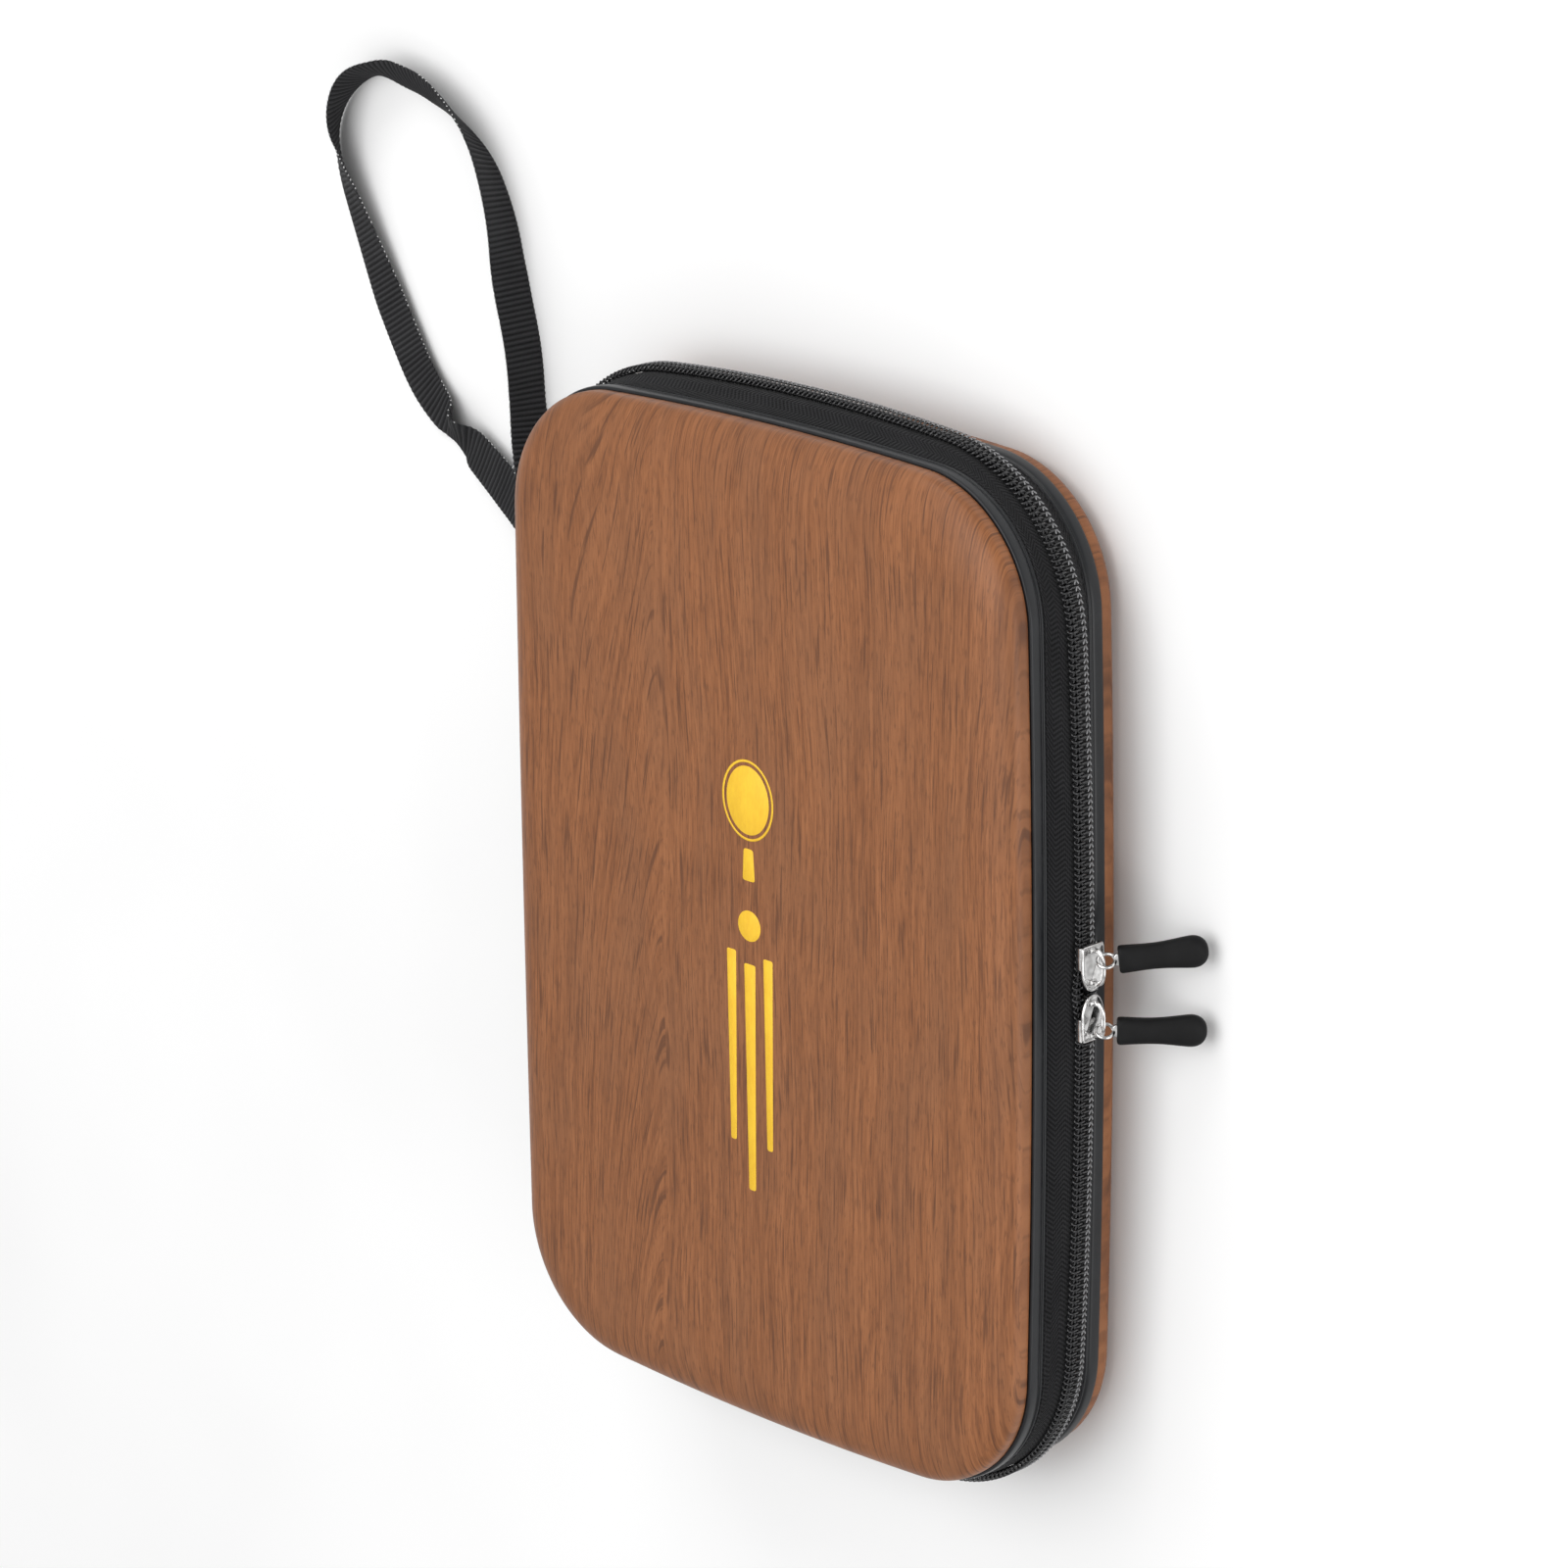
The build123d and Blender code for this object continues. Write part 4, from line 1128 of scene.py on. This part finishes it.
def net_pocket():
    """Knotted net over the lower part of the lid, hemmed all round."""
    loop = outline(-4.7)
    gap, step = 2.45, 1.225
    sketch = Sketch()
    cross = np.array([(0.5, 0.0), (0.0, 0.42), (-0.5, 0.0), (0.0, -0.42)]) * 0.68
    for slope in (1, -1):
        run = np.array([1.0, slope]) / math.sqrt(2)
        side = np.array([-slope, 1.0]) / math.sqrt(2)
        for number in range(-60, 61):
            along = np.arange(-200, 200, step)
            spots = along[:, None] * run + side * (number * gap + 0.6) + (0, -55)
            keep = inside(spots, loop) & (spots[:, 1] < 31.0)
            if keep.sum() < 4:
                continue
            spots, along = spots[keep], along[keep]
            weave = 0.20 * slope * np.cos(math.pi * along / gap) * (1 if number % 2 else -1)
            z = 34.6 + weave + 0.10 * np.sin(spots[:, 0] / 17) * np.sin(spots[:, 1] / 23)
            centre = np.column_stack([spots, z])
            wide = np.array([*side, 0.0])
            table = centre[:, None] + cross[None, :, :1] * wide + cross[None, :, 1:] * np.array([0, 0, 1.0])
            sketch.surface(table, close_cols=True, caps=(0, -1))
    net = sketch.make("net_pocket_mesh", "lid", "net", NET, ["net_pocket"])
    hem = Sketch()
    outer, inner = outline(-4.55), outline(-10.5)
    section = [(0.0, 34.15), (0.0, 35.05), (0.3, 35.2), (0.9, 35.18),
               (1.0, 34.95), (1.0, 34.25), (0.9, 34.02), (0.3, 34.0)]
    table = np.array([between(outer, inner, share, z) for share, z in section])
    hem.surface(np.swapaxes(table, 0, 1), close_rows=True, close_cols=True)
    edge = hem.make("net_pocket_hem", "lid", "seam_binding", BINDING)
    swap_uv(edge)
    line = np.column_stack([np.linspace(-97.5, 98.4, 240), np.full(240, 34.6)])
    band_sketch = Sketch()
    table = ribbed_band(line, 10.0, 1.8, 6, 0.22) + (0, 35.0, 0)
    band_sketch.surface(table, close_cols=True, caps=(0, -1))
    band = band_sketch.make("net_band_elastic", "lid", "elastic", ELASTIC, ["net_band"])
    thread = Sketch()
    spots = np.arange(-96, 95, 2.6)
    for y in (31.6, 38.4):
        for z in (33.62, 35.58):
            a = np.column_stack([spots, np.full(len(spots), y), np.full(len(spots), z)])
            dashes(thread, a, a + (1.7, 0, 0), THREAD_RADIUS)
    thread.make("net_band_stitches", "lid", "elastic", THREAD)


INK_HEIGHT = 0.05


def motif():
    """Plain printed pictogram on the lid: a paddle, a ball and its flight lines."""
    sketch = Sketch()
    stations = [(TOP, 0.0), (TOP + 0.03, 0.0), (TOP + INK_HEIGHT, 0.03)]
    angles = np.linspace(0, 2 * math.pi, 72, endpoint=False)
    blade = np.column_stack([1.6 + 8.6 * np.cos(angles), 42.0 + 10.2 * np.sin(angles)])
    pillow(sketch, blade, stations)
    rim = np.column_stack([1.6 + 10.4 * np.cos(angles), 42.0 + 12.0 * np.sin(angles)])
    inner = rim - unit(rim - rim.mean(0)) * 0.75
    corners = ((rim, 0), (rim, INK_HEIGHT), (inner, INK_HEIGHT), (inner, 0))
    rings = np.array([np.column_stack([loop, np.full(len(loop), TOP + rise)]) for loop, rise in corners])
    sketch.surface(rings, close_rows=True, close_cols=True)
    grip = rounded([(-0.9, 18.0), (4.1, 18.0), (3.5, 27.6), (-0.3, 27.6)], 1.0)
    pillow(sketch, grip, stations)
    ball = np.column_stack([1.6 + 4.6 * np.cos(angles), 4.5 + 4.6 * np.sin(angles)])
    pillow(sketch, ball, stations)
    for x, high, low, wide in ((-5.9, -4.0, -62.0, 3.8), (1.6, -7.0, -76.0, 4.6), (9.1, -4.0, -62.0, 3.8)):
        foot, head = wide * 0.3, wide / 2
        bar = rounded([(x - foot, low), (x + foot, low), (x + head, high), (x - head, high)], 0.8)
        pillow(sketch, bar, stations)
    sketch.make("lid_printed_motif", "lid", "wood_print_shell", INK)


strap_tabs()
paddle_band()
net_pocket()
motif()


# ---------------------------------------------------------------- floor and light

def make_floor():
    sketch = Sketch()
    spots = np.linspace(-3500, 3500, 9)
    x, y = np.meshgrid(spots, spots)
    sketch.surface(np.stack([x, y, np.full_like(x, -0.05)], -1))
    mesh = sketch.make("floor", None, None, floor_finish())


def softbox(name, place, aim, width, height, power, tint=(1, 1, 1)):
    data = bpy.data.lights.new(name, "AREA")
    data.shape = "RECTANGLE"
    data.size, data.size_y = width, height
    data.energy = power
    data.color = tint
    light = bpy.data.objects.new(name, data)
    bpy.context.scene.collection.objects.link(light)
    light.location = place
    light.rotation_euler = (Vector(aim) - Vector(place)).to_track_quat("-Z", "Y").to_euler()


def make_light():
    world = bpy.data.worlds.new("studio")
    world.use_nodes = True
    background = world.node_tree.nodes["Background"]
    background.inputs[0].default_value = (1, 1, 1, 1)
    background.inputs[1].default_value = 0.66
    nodes, links = world.node_tree.nodes, world.node_tree.links
    ways = nodes.new("ShaderNodeTexCoord")
    split = nodes.new("ShaderNodeSeparateXYZ")
    walls = nodes.new("ShaderNodeValToRGB")
    while len(walls.color_ramp.elements) < 4:
        walls.color_ramp.elements.new(0.5)
    tones = ((0.03, 0.9), (0.08, 0.25), (0.30, 0.25), (0.42, 1.0))
    for element, (place, tone) in zip(walls.color_ramp.elements, tones):
        element.position = place
        element.color = (tone, tone, tone, 1.0)
    links.new(ways.outputs["Generated"], split.inputs[0])
    links.new(split.outputs[2], walls.inputs[0])
    links.new(walls.outputs[0], background.inputs[0])
    bpy.context.scene.world = world
    bpy.context.scene.view_settings.view_transform = "Standard"
    softbox("overhead", (0.1, 0.5, 1.9), (0, 0, 0), 1.6, 1.6, 22)
    softbox("right_side", (1.7, -0.3, 0.5), (0.1, 0, 0.02), 1.2, 0.8, 9.5)
    softbox("far_end", (-0.4, 1.6, 0.9), (0, 0.1, 0.02), 1.2, 0.6, 7)


make_floor()
make_light()
